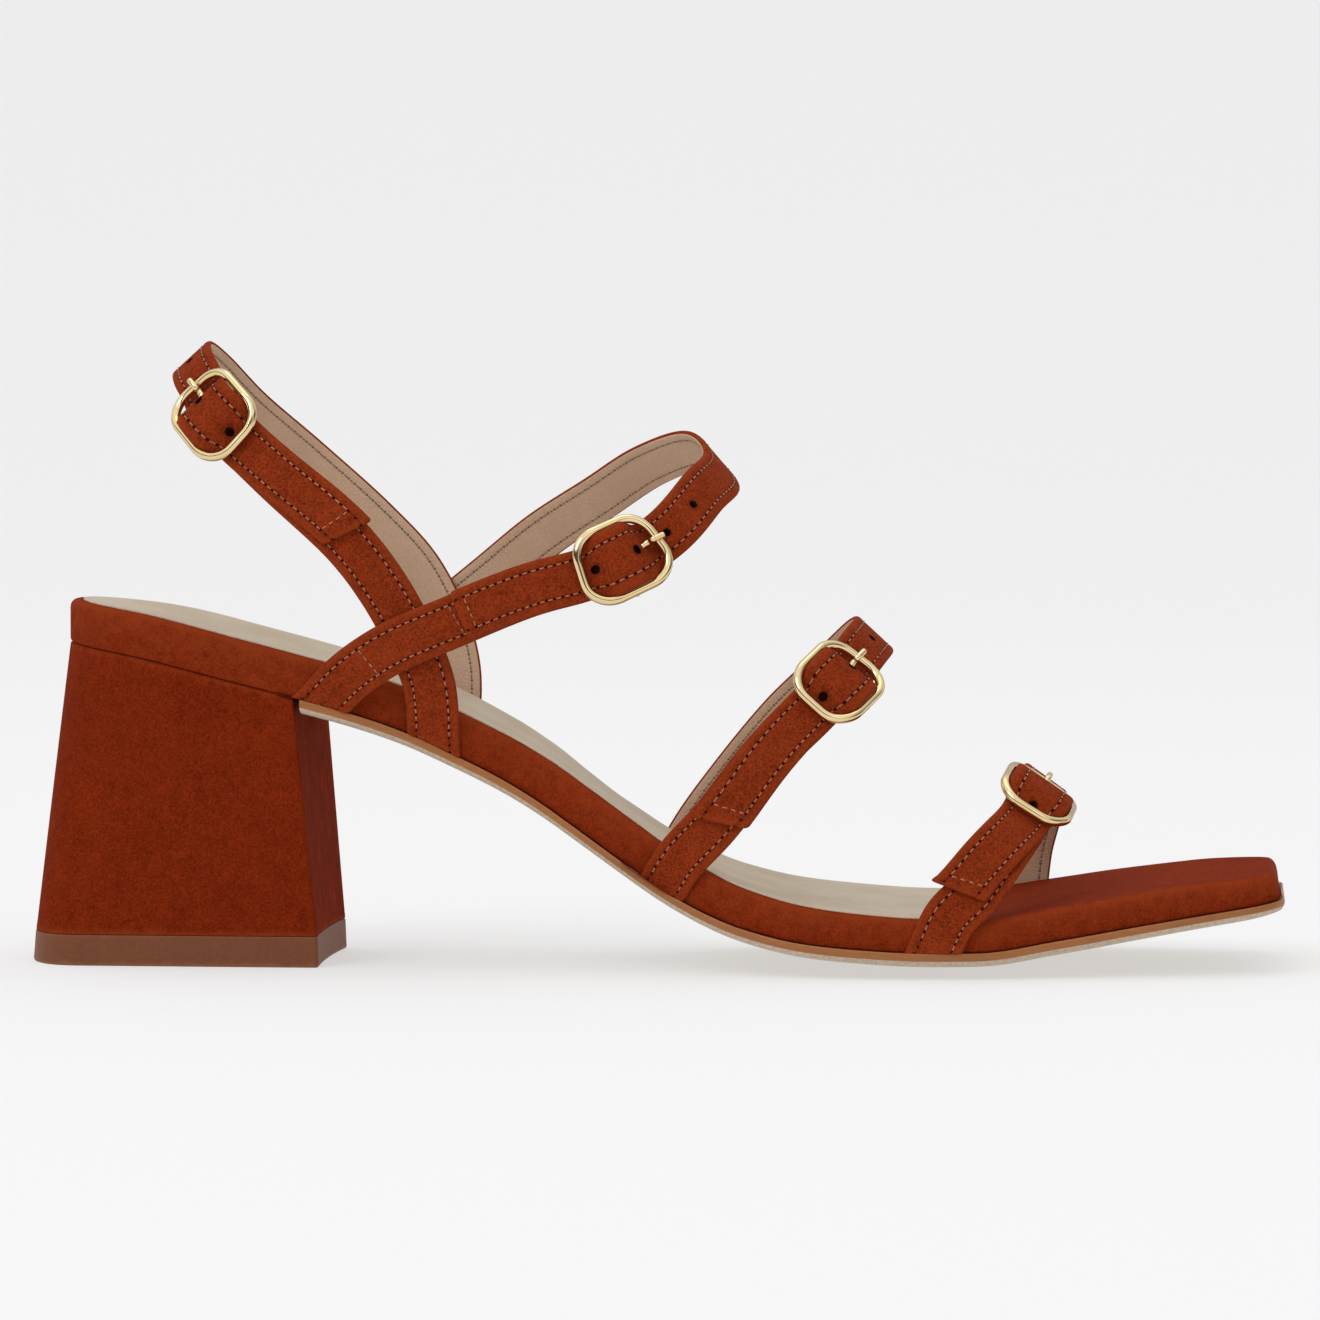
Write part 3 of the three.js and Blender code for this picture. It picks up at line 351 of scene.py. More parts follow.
# %% Finish: beige leather
def beige_leather(name, colour, shade, on_strap):
    finish, tree, shader = new_finish(name)
    skin = use_group(tree, grain, {"Cells": 1300.0, "Crease": 0.16})
    patch = patches(tree, 55.0, 0.45)
    tone = washed(tree, colour, patch, 0.5, shade)
    tone = blend_colour(tree, ramp(tree, skin["Mask"], 0.0, 1.0, 0.28, 0.0), tone, shade)
    height = skin["Height"]
    if on_strap:
        dots = needle_dots(tree)
        # Needle holes in the lining: painted shade, a dark dot at each hole.
        tone = washed(tree, tone, dots, 0.8, ink(70, 40, 24))
        height = calc(tree, "SUBTRACT", height, times(tree, dots, 2.0))
    else:
        # Paler sock rim: the pale cut edge, with painted highlight along its rounding.
        tone = blend_colour(tree, rub_and_highlight(tree, 0.7, 300.0), tone, ink(206, 192, 170))
    feed(tree, shader, {
        "Base Color": tone, "Roughness": ramp(tree, patch, 0.0, 1.0, 0.5, 0.66),
        "Specular IOR Level": 0.4,
    })
    press(tree, shader, height, 0.05)
    return finish


lining_leather = beige_leather("lining leather", ink(205, 173, 146), ink(184, 150, 122), True)
sock_leather = beige_leather("sock leather", ink(199, 183, 159), ink(181, 163, 137), False)

# %% Finish: thread
def twisted_thread(name, colour, shade):
    finish, tree, shader = new_finish(name)
    twist = node(tree, "ShaderNodeTexWave", {"bands_direction": "DIAGONAL"},
                 {"Vector": object_place(tree), "Scale": 900.0, "Distortion": 1.5}).outputs["Fac"]
    feed(tree, shader, {"Base Color": blend_colour(tree, twist, shade, colour),
                        "Roughness": ramp(tree, twist, 0.0, 1.0, 0.7, 0.5)})
    press(tree, shader, twist, 0.05)
    return finish


tan_thread = twisted_thread("tan thread", ink(200, 136, 102), ink(140, 84, 56))
beige_thread = twisted_thread("beige thread", ink(160, 130, 104), ink(120, 92, 70))
print("finishes so far:", len(bpy.data.materials))

# %% [markdown]
# ## Sole, top piece and metal
# The outsole's cut edge is stained tan and burnished, so fibres run along it and it shines a
# little. Its underside is pale, matt leather that picks up scuffs. The top piece is brown
# rubber with a fine speckle. The buckles are plated: a warm metal with smudges in its gloss.

# %% Finish: burnished edge of the sole
sole_edge, tree, shader = new_finish("burnished sole edge")
level = node(tree, "ShaderNodeVectorMath", {"operation": "MULTIPLY"},
             {0: object_place(tree), 1: (1.0, 1.0, 14.0)})
strands = noise(tree, level.outputs[0], 260.0, 4.0, 0.65)
patch = patches(tree, 45.0, 0.5)
stain_and_highlight = blend_colour(tree, strands, ink(142, 80, 30), ink(180, 112, 50))
# Paler lines along the band's rounded top and foot: painted highlight, with some rubbing.
stain_and_highlight = blend_colour(tree, rub_and_highlight(tree, 0.35, 260.0), stain_and_highlight, ink(190, 138, 84))
feed(tree, shader, {"Base Color": washed(tree, stain_and_highlight, patch, 0.3, ink(112, 66, 34)),
                    "Roughness": ramp(tree, patch, 0.0, 1.0, 0.36, 0.52)})
press(tree, shader, strands, 0.05)

# %% Finish: underside of the sole
sole_under, tree, shader = new_finish("sole underside")
skin = use_group(tree, grain, {"Cells": 700.0, "Crease": 0.1})
patch = patches(tree, 30.0, 0.6)
creases = ramp(tree, skin["Mask"], 0.0, 1.0, 0.3, 0.0)
tone = washed(tree, ink(200, 182, 160), patch, 0.45, ink(182, 162, 138))
feed(tree, shader, {"Base Color": blend_colour(tree, creases, tone, ink(138, 114, 88)),
                    "Roughness": ramp(tree, patch, 0.0, 1.0, 0.6, 0.8)})
press(tree, shader, skin["Height"], 0.05)

# %% Finish: rubber of the top piece
top_rubber, tree, shader = new_finish("top piece rubber")
speck = noise(tree, object_place(tree), 1500.0, 3.0, 0.7)
tone = blend_colour(tree, ramp(tree, speck, 0.35, 0.7), ink(116, 66, 41), ink(124, 74, 47))
tone = washed(tree, tone, patches(tree, 70.0, 0.5), 0.3, ink(106, 60, 37))
feed(tree, shader, {
    # Paler edges of the top piece: wear, with painted highlight on the roundings.
    "Base Color": blend_colour(tree, rub_and_highlight(tree, 0.6, 500.0), tone, ink(146, 98, 70)),
    "Roughness": ramp(tree, speck, 0.2, 0.8, 0.5, 0.68), "Specular IOR Level": 0.2,
})
press(tree, shader, speck, 0.04)

# %% Finish: plated metal
gold, tree, shader = new_finish("pale gold plate")
smudge = patches(tree, 240.0, 0.6)
hair = noise(tree, object_place(tree), 5200.0, 2.0, 0.6)
plate = blend_colour(tree, smudge, ink(242, 220, 172), ink(228, 202, 150))
# Painted dark reflection: the plate is darker where its surface turns away from the view.
turned_away_shade = node(tree, "ShaderNodeLayerWeight", None, {"Blend": 0.5}).outputs["Facing"]
turned_away_shade = ramp(tree, turned_away_shade, 0.45, 0.85, 0.0, 0.8)
feed(tree, shader, {"Base Color": blend_colour(tree, turned_away_shade, plate, ink(104, 68, 30)),
                    "Metallic": 1.0, "Roughness": ramp(tree, smudge, 0.0, 1.0, 0.06, 0.13)})
press(tree, shader, hair, 0.004)
print("finishes:", [finish.name for finish in bpy.data.materials if finish.node_tree])

# %% [markdown]
# ## The shape of the footbed
# A shoe is built on a last, and every curve of the sandal follows from it: the height of the
# footbed along the foot, and its outline from above. These are the same tables as in the solid
# model, in millimetres, and SEAT_PADDING is added to them: the padding stands that much higher
# at the seat. `along` is a share of the length, from the seat's back to the toe.

# %% Tables of the footbed
FOOTBED_LENGTH, SEAT_HEIGHT, TOE_SPRING = 233.7, 61.8, 8.9
BALL_WIDTH, SEAT_WIDTH, SEAT_BACK = 77.0, 50.0, -22.0
BED_THICK_HEEL, BED_THICK_TOE, TOE_THINNING = 7.5, 6.1, 0.9
BED_CROWN, SEAT_CUP, TOP_ROUNDING, SEAT_PADDING = 1.4, 1.2, 2.0, 0.8
TOE_CORNER, HEEL_ROUNDING, MEDIAL_SHIFT = 9.0, 27.0, 4.0
SOLE_DEPTH, SOLE_EDGE, SOLE_FLAT, SOLE_WAIST = 5.1, 1.9, 0.4, 0.35
GAP = 0.3

ARCH = [  # along, height as a share of the seat's height above the ball
    (-0.02, 1.02), (0, 1), (0.074, 0.953), (0.147, 0.88), (0.196, 0.83), (0.246, 0.775),
    (0.287, 0.718), (0.319, 0.66), (0.367, 0.563), (0.401, 0.48), (0.433, 0.39), (0.469, 0.288),
    (0.502, 0.2), (0.535, 0.129), (0.567, 0.078), (0.614, 0.033), (0.679, 0.008), (0.729, 0),
    (1.1, 0),
]
SPRING = [(-0.1, 0), (0.757, 0), (0.824, 0.25), (0.888, 0.53), (0.952, 0.8), (1, 1), (1.1, 1.45)]
PLAN = [  # along, lateral and medial share of a half width, 1 where that is the seat's
    (0, 0.97, 0.97, 1), (0.132, 1, 1, 1), (0.207, 1, 0.98, 1), (0.293, 0.96, 0.9, 1),
    (0.378, 0.94, 0.82, 1), (0.443, 0.675, 0.545, 0), (0.507, 0.785, 0.635, 0),
    (0.57, 0.905, 0.8, 0),
    (0.635, 0.985, 0.935, 0), (0.7, 1, 1, 0), (0.763, 0.96, 1, 0), (0.828, 0.875, 0.955, 0),
    (0.892, 0.785, 0.89, 0), (0.955, 0.705, 0.825, 0), (1, 0.67, 0.79, 0),
]

# %% Curves through the tables
def smooth(low, high, value):
    share = min(max((value - low) / (high - low), 0.0), 1.0)
    return share * share * (3 - 2 * share)


def through(rows, column):
    at = [row[0] for row in rows]
    value = [row[column] for row in rows]
    last = len(rows) - 1
    slope = []
    for i in range(last + 1):
        lower, upper = max(i - 1, 0), min(i + 1, last)
        slope.append((value[upper] - value[lower]) / (at[upper] - at[lower]))

    def curve(along):
        along = min(max(along, at[0]), at[-1])
        i = 0
        while i < last - 1 and along > at[i + 1]:
            i += 1
        span = at[i + 1] - at[i]
        t = (along - at[i]) / span
        rise = value[i + 1] - value[i]
        return (value[i] + rise * t * t * (3 - 2 * t)
                + span * slope[i] * t * (1 - t) ** 2 - span * slope[i + 1] * t * t * (1 - t))
    return curve


def to_along(x):
    return (x - SEAT_BACK) / FOOTBED_LENGTH


def to_x(along):
    return SEAT_BACK + along * FOOTBED_LENGTH


arch_at, spring_at = through(ARCH, 1), through(SPRING, 1)
plan_rows = []
for along, outer, inner, on_seat in PLAN:
    half = (SEAT_WIDTH if on_seat else BALL_WIDTH) / 2
    plan_rows.append((along, outer * half, inner * half))
lateral_at, medial_at = through(plan_rows, 1), through(plan_rows, 2)

# %% Heights and widths of the footbed
def feather_z(x, side):
    """Height of the footbed's lower edge. side runs from -1, the outer edge, to 1, the inner."""
    shift = MEDIAL_SHIFT * smooth(0.3, 0.45, to_along(x)) * (1 - smooth(0.85, 1, to_along(x)))
    along = to_along(x + shift * (side + 1) / 2)
    return SOLE_DEPTH + arch_at(along) * (SEAT_HEIGHT - SOLE_DEPTH) + spring_at(along) * TOE_SPRING


def upright_share(x, side):
    return math.hypot(1, (feather_z(x + 1, side) - feather_z(x - 1, side)) / 2)


def rim_z(x, side):
    along = to_along(x)
    thick = BED_THICK_HEEL + (BED_THICK_TOE - BED_THICK_HEEL) * smooth(0.5, 0.75, along)
    thick -= TOE_THINNING * smooth(0.93, 1, along)
    thick += SEAT_PADDING * (1 - smooth(0.05, 0.45, along))
    return feather_z(x, side) + thick * upright_share(x, side)


def bed_top_z(x, side):
    cup = SEAT_CUP * smooth(0, 0.06, to_along(x)) * (1 - smooth(0.25, 0.6, to_along(x)))
    return rim_z(x, side) - cup * (1 - side * side)


def bed_under_z(x, side):
    return feather_z(x, side) - BED_CROWN * smooth(0, 0.06, to_along(x)) * (1 - side * side)


def bed_halves(x):
    back = min(max((x - SEAT_BACK) / HEEL_ROUNDING, 0), 1)
    seat = math.sqrt(1 - (1 - back) ** 2)
    front = max(TOE_CORNER - (to_x(1) - x), 0)
    corner = TOE_CORNER - math.sqrt(max(TOE_CORNER ** 2 - front ** 2, 0))
    return -lateral_at(to_along(x)) * seat + corner, medial_at(to_along(x)) * seat - corner


print("ball width:", round(bed_halves(to_x(0.7))[1] - bed_halves(to_x(0.7))[0], 1), "mm")

# %% [markdown]
# ## One way to build every layered part
# The footbed, the sock, the outsole, the heel and the top piece are all stacks of outlines: an
# outline seen from above, drawn again at several heights and joined by walls. Rounded edges are
# a few outlines close together that step inwards. One function makes them all, and it stores on
# each point how near it is to an edge, which the edge wear and painted highlight group reads.

# %% Helper: make a mesh piece
def make_piece(name, points, faces, finishes, kinds=None, stored_values=None):
    mesh = bpy.data.meshes.new(name)
    mesh.from_pydata((np.array(points, dtype=float) / 1000).tolist(), [], faces)
    for finish in finishes:
        mesh.materials.append(finish)
    if kinds is not None:
        mesh.polygons.foreach_set("material_index", kinds)
    mesh.polygons.foreach_set("use_smooth", [True] * len(mesh.polygons))
    mesh.set_sharp_from_angle(angle=math.radians(48))
    for title, values in (stored_values or {}).items():
        kind, field = ("FLOAT", "value") if np.ndim(values) == 1 else ("FLOAT_VECTOR", "vector")
        store = mesh.attributes.new(title, kind, "POINT").data
        store.foreach_set(field, np.array(values, dtype=float).ravel())
    mesh.update()
    piece = bpy.data.objects.new(name, mesh)
    bpy.context.scene.collection.objects.link(piece)
    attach(piece, "root")
    return piece


# %% Helper: an outline grid and the stack of outlines
def stations(start, end, count, crowd_back=1.0, crowd_front=1.0):
    found = []
    for i in range(count):
        t = i / (count - 1)
        eased = (1 - math.cos(t * math.pi)) / 2
        crowd = crowd_back if t < 0.5 else crowd_front
        found.append(start + (end - start) * (t + (eased - t) * crowd))
    return found


def grid_plan(xs, halves, sides, skew=lambda x: 0.0):
    plan = []
    for x in xs:
        outer, inner = halves(x)
        plan.append([(x + skew(x) * side, outer + (inner - outer) * (side + 1) / 2)
                     for side in sides])
    return np.array(plan)


def layered(name, levels, sides, finishes, flat_back=False):
    """levels from the top down: plan, inset, height at (x, side), edge mark, finish of the wall."""
    rows, columns = levels[0][0].shape[:2]
    rim = [(i, 0) for i in range(rows)] + [(rows - 1, k) for k in range(1, columns)]
    rim += [(i, columns - 1) for i in range(rows - 2, -1, -1)]
    rim += [(0, k) for k in range(columns - 2, 0, -1)]
    points, edges, faces, kinds, loops = [], [], [], [], []
    for plan, inset, height, mark, _ in levels:
        line = np.array([plan[i][k] for i, k in rim])
        along = np.roll(line, -1, 0) - np.roll(line, 1, 0)
        along /= np.maximum(np.linalg.norm(along, axis=1), 1e-9)[:, None]
        inward = np.stack([-along[:, 1], along[:, 0]], 1)
        if flat_back:
            for j, (i, k) in enumerate(rim):
                if i == 0:
                    inward[j] = (0, 1 if k == 0 else (-1 if k == columns - 1 else 0))
        moved = line + inward * inset
        loops.append(range(len(points), len(points) + len(rim)))
        for j, (i, k) in enumerate(rim):
            points.append((moved[j][0], moved[j][1], height(moved[j][0], sides[k])))
            edges.append(mark)
    for upper, lower, level in zip(loops, loops[1:], levels[1:]):
        for j in range(len(rim)):
            after = (j + 1) % len(rim)
            faces.append((upper[j], lower[j], lower[after], upper[after]))
            kinds.append(level[4])
    for loop, level, up in ((loops[0], levels[0], True), (loops[-1], levels[-1], False)):
        index = np.zeros((rows, columns), dtype=int)
        for j, (i, k) in enumerate(rim):
            index[i][k] = loop[j]
        for i in range(1, rows - 1):
            start, end = np.array(points[index[i][0]])[:2], np.array(points[index[i][-1]])[:2]
            row = level[0][i]
            for k in range(1, columns - 1):
                share = (sides[k] + 1) / 2
                bend = row[k] - row[0] - (row[-1] - row[0]) * share
                x, y = start + (end - start) * share + bend
                points.append((x, y, level[2](x, sides[k])))
                edges.append(0.0)
                index[i][k] = len(points) - 1
        for i in range(rows - 1):
            for k in range(columns - 1):
                quad = [index[i][k], index[i + 1][k], index[i + 1][k + 1], index[i][k + 1]]
                faces.append(tuple(int(q) for q in (quad if up else quad[::-1])))
                kinds.append(level[4])
    return make_piece(name, points, faces, finishes, kinds, {"edge": edges})


def rounding(radius, steps=5):
    """Inset and drop of a rounded edge, from the flat top to the upright wall."""
    turns = [math.pi / 2 * i / steps for i in range(steps + 1)]
    return [(radius * (1 - math.sin(turn)), radius * (1 - math.cos(turn))) for turn in turns]


def spread_sides(count):
    """Numbers from -1 to 1 that crowd a little towards both ends."""
    shares = [i / (count - 1) for i in range(count)]
    return [-math.cos(math.pi * t) * 0.55 + (2 * t - 1) * 0.45 for t in shares]


SIDES = spread_sides(17)

# %% [markdown]
# ## The footbed
# A board with thin padding, wrapped in suede that is pulled round its edge and glued underneath.
# The wrapping rounds the upper edge softly and the lower one more tightly.

# %% Piece: footbed
bed_xs = stations(SEAT_BACK + 0.05, to_x(1), 130, 1.0, 0.9)
bed_plan = grid_plan(bed_xs, bed_halves, SIDES)
bed_levels = []
for inset, drop in rounding(TOP_ROUNDING, 6):
    share = inset / TOP_ROUNDING
    height = lambda x, side, d=drop, s=share: (bed_top_z(x, side) * s + rim_z(x, side) * (1 - s)
                                               - d * (1 + 0.9 * smooth(0.95, 1, to_along(x))))
    bed_levels.append((bed_plan, inset, height, 1.0 - abs(share - 0.35), 0))
for inset, rise in ((0.0, 1.2), (0.0, 0.5), (0.08, 0.2), (0.3, 0.03)):
    bed_levels.append((bed_plan, inset, lambda x, side, r=rise: feather_z(x, side) + r, 0.45, 0))
bed_levels.append((bed_plan, 1.8, bed_under_z, 0.0, 0))
footbed_wrap = layered("footbed_wrap", bed_levels, SIDES, [bed_suede])
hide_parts("footbed")
print("footbed faces:", len(footbed_wrap.data.polygons))

# %% [markdown]
# ## The sock
# The sock is the beige leather that the foot rests on. It stops short of the footbed's rim all
# round, and its front edge is hidden under the toe strap. Its cut edge is pale.

# %% Piece: sock
SOCK_INSET, SOCK_END, SOCK_END_SKEW, SOCK_PROUD = 2.6, 0.757, 4.5, 0.28
sock_start, sock_stop = SEAT_BACK + SOCK_INSET, to_x(SOCK_END)


def sock_halves(x):
    share = (x - sock_start) / (sock_stop - sock_start)
    outer, inner = bed_halves(x - SOCK_INSET * (1 - 2 * share))
    inset = SOCK_INSET * smooth(0, 0.1, share)
    return outer + inset, inner - inset


sock_plan = grid_plan(stations(sock_start + 0.05, sock_stop, 110, 1.0, 0.3), sock_halves, SIDES,
                      lambda x: SOCK_END_SKEW * smooth(0.6, SOCK_END, to_along(x)))
sock = layered("sock", [
    (sock_plan, 0.3, lambda x, side: bed_top_z(x, side) + SOCK_PROUD, 0.35, 0),
    (sock_plan, 0.06, lambda x, side: bed_top_z(x, side) + SOCK_PROUD - 0.07, 1.0, 0),
    (sock_plan, 0.0, lambda x, side: bed_top_z(x, side) + SOCK_PROUD - 0.25, 1.0, 0),
    (sock_plan, 0.0, lambda x, side: bed_top_z(x, side) - 0.5, 0.6, 0),
], SIDES, [sock_leather])
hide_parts("insole_sock")
print("sock faces:", len(sock.data.polygons))

# %% [markdown]
# ## The outsole
# A leather sole that starts at the heel's breast. Its upright edge is a thin tan band, and the
# pale underside rolls down below the band and bulges to the floor at the ball. The two looks
# share one mesh: each wall says which of the two finishes it takes.

# %% Piece: outsole
SOLE_MARGIN, SOLE_BEVEL, BREAST_X = 1.0, 7.0, 24.6
sole_start = BREAST_X + GAP + SOLE_MARGIN
sole_xs = [sole_start] + [x for x in bed_xs if x > sole_start + 1]
sole_plan = grid_plan(sole_xs, bed_halves, SIDES)


def sole_under_z(x, side):
    along = to_along(x)
    full = SOLE_WAIST + (1 - SOLE_WAIST) * smooth(0.42, 0.62, along)
    share = full * (1 - 0.6 * smooth(0.76, 0.95, along)) * (1 - abs(side) ** 1.25)
    thick = SOLE_EDGE + (SOLE_DEPTH + SOLE_FLAT - SOLE_EDGE) * share
    return max(feather_z(x, side) - thick * min(upright_share(x, side), 1.15), 0)


BAND_HEIGHT, BAND_AT_BREAST = 1.2, 0.9


def band_z(x, side):
    slim = 1 - 0.2 * smooth(0.82, 0.98, to_along(x))
    return feather_z(x, 1 if side > 0 else (-1 if side < 0 else 0)) - GAP - BAND_HEIGHT * slim


def band_end_z(x, side):
    """Foot of the tan band, which also crosses the sole's end at the breast."""
    return min(band_z(x, side), feather_z(x, side) - GAP - BAND_AT_BREAST)


def rolled_z(x, side, share, roll):
    """The underside, which rolls at least that far below the band on its way in."""
    return max(min(sole_under_z(x, side * share), band_end_z(x, side) - roll), 0)


outsole_piece = layered("outsole_with_edge", [
    (sole_plan, 0.6, lambda x, side: bed_under_z(x, side) - GAP, 0.0, 0),
    (sole_plan, -SOLE_MARGIN + 0.5, lambda x, side: feather_z(x, side), 0.5, 0),
    (sole_plan, -SOLE_MARGIN + 0.1, lambda x, side: feather_z(x, side) - 0.05, 1.0, 0),
    (sole_plan, -SOLE_MARGIN, lambda x, side: feather_z(x, side) - 0.25, 0.3, 0),
    (sole_plan, -SOLE_MARGIN, lambda x, side: band_end_z(x, side) + 0.3, 0.2, 0),
    (sole_plan, -SOLE_MARGIN + 0.12, lambda x, side: max(band_end_z(x, side), 0), 0.8, 0),
    (sole_plan, -SOLE_MARGIN + 0.5, lambda x, side: rolled_z(x, side, 1.0, 0.45), 0.5, 1),
    (sole_plan, 0.4, lambda x, side: rolled_z(x, side, 0.98, 0.95), 0.3, 1),
    (sole_plan, SOLE_BEVEL * 0.3, lambda x, side: rolled_z(x, side, 0.95, 1.25), 0.1, 1),
    (sole_plan, SOLE_BEVEL, lambda x, side: rolled_z(x, side, 0.82, 1.3), 0.0, 1),
], SIDES, [sole_edge, sole_under], flat_back=True)
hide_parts("outsole")
print("outsole faces:", len(outsole_piece.data.polygons))

# %% [markdown]
# ## The heel and its top piece
# The block heel is wood or plastic covered in the same suede. It is lofted between two outlines:
# the seat of the footbed above, and a longer, narrower foot below. Its front, the breast, is
# slightly hollow. The top piece below it takes the wear when the shoe is walked in.

# %% Outlines of the heel
HEEL_FOOT_LENGTH, HEEL_FOOT_WIDTH, HEEL_FOOT_ROUNDING = 57.8, 44.0, 12.0
LIFT_THICK, LIFT_FLARE, BREAST_HOLLOW, BREAST_CORNER = 5.9, 0.5, 0.7, 0.7
HEEL_EDGE, HEEL_ROOM = 0.7, 0.05
HEEL_FOOT_Z = LIFT_THICK + 0.04


def heel_foot_halves(x):
    back = min(max((x + HEEL_FOOT_LENGTH / 2) / HEEL_FOOT_ROUNDING, 0), 1)
    half = (1 - (1 - back) ** 2.4) ** (1 / 2.4) * HEEL_FOOT_WIDTH / 2
    half *= 0.95 + 0.05 * smooth(-HEEL_FOOT_LENGTH / 2, HEEL_FOOT_LENGTH / 2, x)
    return -half, half


def heel_outline(back, front, halves):
    """Rows from the back to the breast, with the breast hollowed and its corners eased."""
    plan = []
    shares = stations(0, 1, 54, 1.0, 0.3)[:-1]
    shares += [1 - BREAST_CORNER / (front - back) * step for step in (0.7, 0.45, 0.25, 0.1, 0.0)]
    for share in sorted(set(shares)):
        x = back + 0.05 + (front - back - 0.05) * share
        outer, inner = halves(x)
        into = max(BREAST_CORNER - (front - x), 0)
        eased = BREAST_CORNER - math.sqrt(max(BREAST_CORNER ** 2 - into ** 2, 0))
        outer, inner = outer + eased, inner - eased
        hollow = BREAST_HOLLOW * share ** 6
        plan.append([(x - hollow * (1 - s * s), (outer + inner) / 2 + s * (inner - outer) / 2)
                     for s in SIDES])
    return np.array(plan)


def foot_outline(grow):
    stretch = HEEL_FOOT_LENGTH / (HEEL_FOOT_LENGTH + 2 * grow)

    def halves(x):
        outer, inner = heel_foot_halves(x * stretch)
        return outer - grow * 0.5, inner + grow * 0.5
    return heel_outline(-HEEL_FOOT_LENGTH / 2 - grow, HEEL_FOOT_LENGTH / 2 + grow * 0.5, halves)


# %% Piece: heel cover
heel_top_plan = heel_outline(SEAT_BACK, BREAST_X, bed_halves)
heel_low_plan = foot_outline(-LIFT_FLARE)
heel_levels = [(0.0, inset, drop, 0.6) for inset, drop in rounding(HEEL_EDGE, 3)]
heel_levels += [(share, 0.0, HEEL_EDGE, 0.0) for share in np.linspace(0.04, 0.96, 22)]
heel_levels += [(1.0, inset, rise, 0.8) for inset, rise in ((0.0, 0.3), (0.06, 0.08), (0.2, 0.0))]


def heel_height(share, offset):
    if share == 1.0:
        return lambda x, side: HEEL_FOOT_Z + offset
    return lambda x, side: ((bed_under_z(x, side) - HEEL_ROOM - offset) * (1 - share)
                            + HEEL_FOOT_Z * share)


heel_cover = layered("heel_cover", [
    (heel_top_plan * (1 - share) + heel_low_plan * share, inset,
     heel_height(share, offset), mark, 0)
    for share, inset, offset, mark in heel_levels
], SIDES, [heel_suede])
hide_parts("heel_block")
print("heel faces:", len(heel_cover.data.polygons))

# %% Piece: top piece
lift_top, lift_low = foot_outline(-LIFT_FLARE * 0.8), foot_outline(0)
lift_levels = [(0.0, 0.2, LIFT_THICK, 0.2), (0.0, 0.06, LIFT_THICK - 0.06, 0.8),
               (0.0, 0.0, LIFT_THICK - 0.25, 0.4)]
lift_levels += [(share, 0.0, LIFT_THICK * (1 - share), 0.0) for share in (0.3, 0.5, 0.7)]
lift_levels += [(1.0, 0.0, 0.5, 0.6), (1.0, 0.12, 0.12, 1.0), (1.0, 0.5, 0.0, 0.5)]
top_piece = layered("top_piece", [
    (lift_top * (1 - share) + lift_low * share, inset, lambda x, side, z=z: z, mark, 0)
    for share, inset, z, mark in lift_levels
], SIDES, [top_rubber])
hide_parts("heel_top_piece")
print("top piece box:", [round(v * 1000, 1) for v in top_piece.dimensions])

# %% [markdown]
# ## The paths of the straps
# A strap is a ribbon, so all it needs is a line through space and a direction that its face
# looks in. Both are smooth curves through a short table. Each row says where the strap is along
# the foot, how far out and how far up, and then the turn and tilt of its face, as a compass
# angle and a height. Distances along the strap are measured from its outer end.

# %% Tables of the straps
STRAP_THICK, STRAP_PROUD, STRAP_BURY = 1.3, 1.0, 8.0
REAR = {"spread": 28, "rise": 50, "buckle": 80.5, "tip": 35.8, "skew": 18, "shift": -1.2, "rows": [
    (0.314, "wall", "feather", -90, 0), (0.312, -0.985, 0.06, -90, 0), (0.298, -1, 0.2, -90, 3),
    (0.277, -1, 0.345, -91, 6), (0.248, -0.98, 0.48, -93, 9), (0.185, -0.86, 0.665, -102, 16),
    (0.128, -0.63, 0.84, -125, 26), (0.111, -0.36, 0.945, -146, 38), (0.102, 0, 1, 180, 48),
    (0.111, 0.36, 0.955, 140, 40), (0.136, 0.66, 0.84, 116, 28), (0.183, 0.87, 0.695, 103, 18),
    (0.24, 0.98, 0.52, 94, 10), (0.275, 1, 0.39, 91, 6), (0.298, 0.98, 0.22, 88, 3),
    (0.309, 0.9, 0.06, 87, 0), (0.31, "wall", "feather", 87, 0)]}
INSTEP = {"spread": 28, "rise": 71, "buckle": 65.2, "tip": 32.2, "skew": 0, "shift": 0.3, "rows": [
    (0.222, "wall", "feather", -90, 0), (0.245, -0.955, -0.02, -90, 0),
    (0.28, -1.03, 0.095, -89, 2),
    (0.333, -1.05, 0.245, -88, 4), (0.391, -1.05, 0.42, -86, 6), (0.442, -1.02, 0.58, -82, 9),
    (0.475, -0.93, 0.7, -72, 18), (0.507, -0.76, 0.845, -60, 28), (0.53, -0.46, 0.985, -38, 37),
    (0.541, 0, 1.06, 0, 43), (0.52, 0.36, 1.075, 34, 45), (0.476, 0.66, 0.935, 62, 42),
    (0.431, 0.87, 0.74, 78, 33), (0.381, 1.01, 0.53, 86, 20), (0.335, 1.05, 0.33, 89, 10),
    (0.288, 1.03, 0.135, 90, 4), (0.257, 0.95, 0.01, 91, 0), (0.234, "wall", "feather", 91, 0)]}
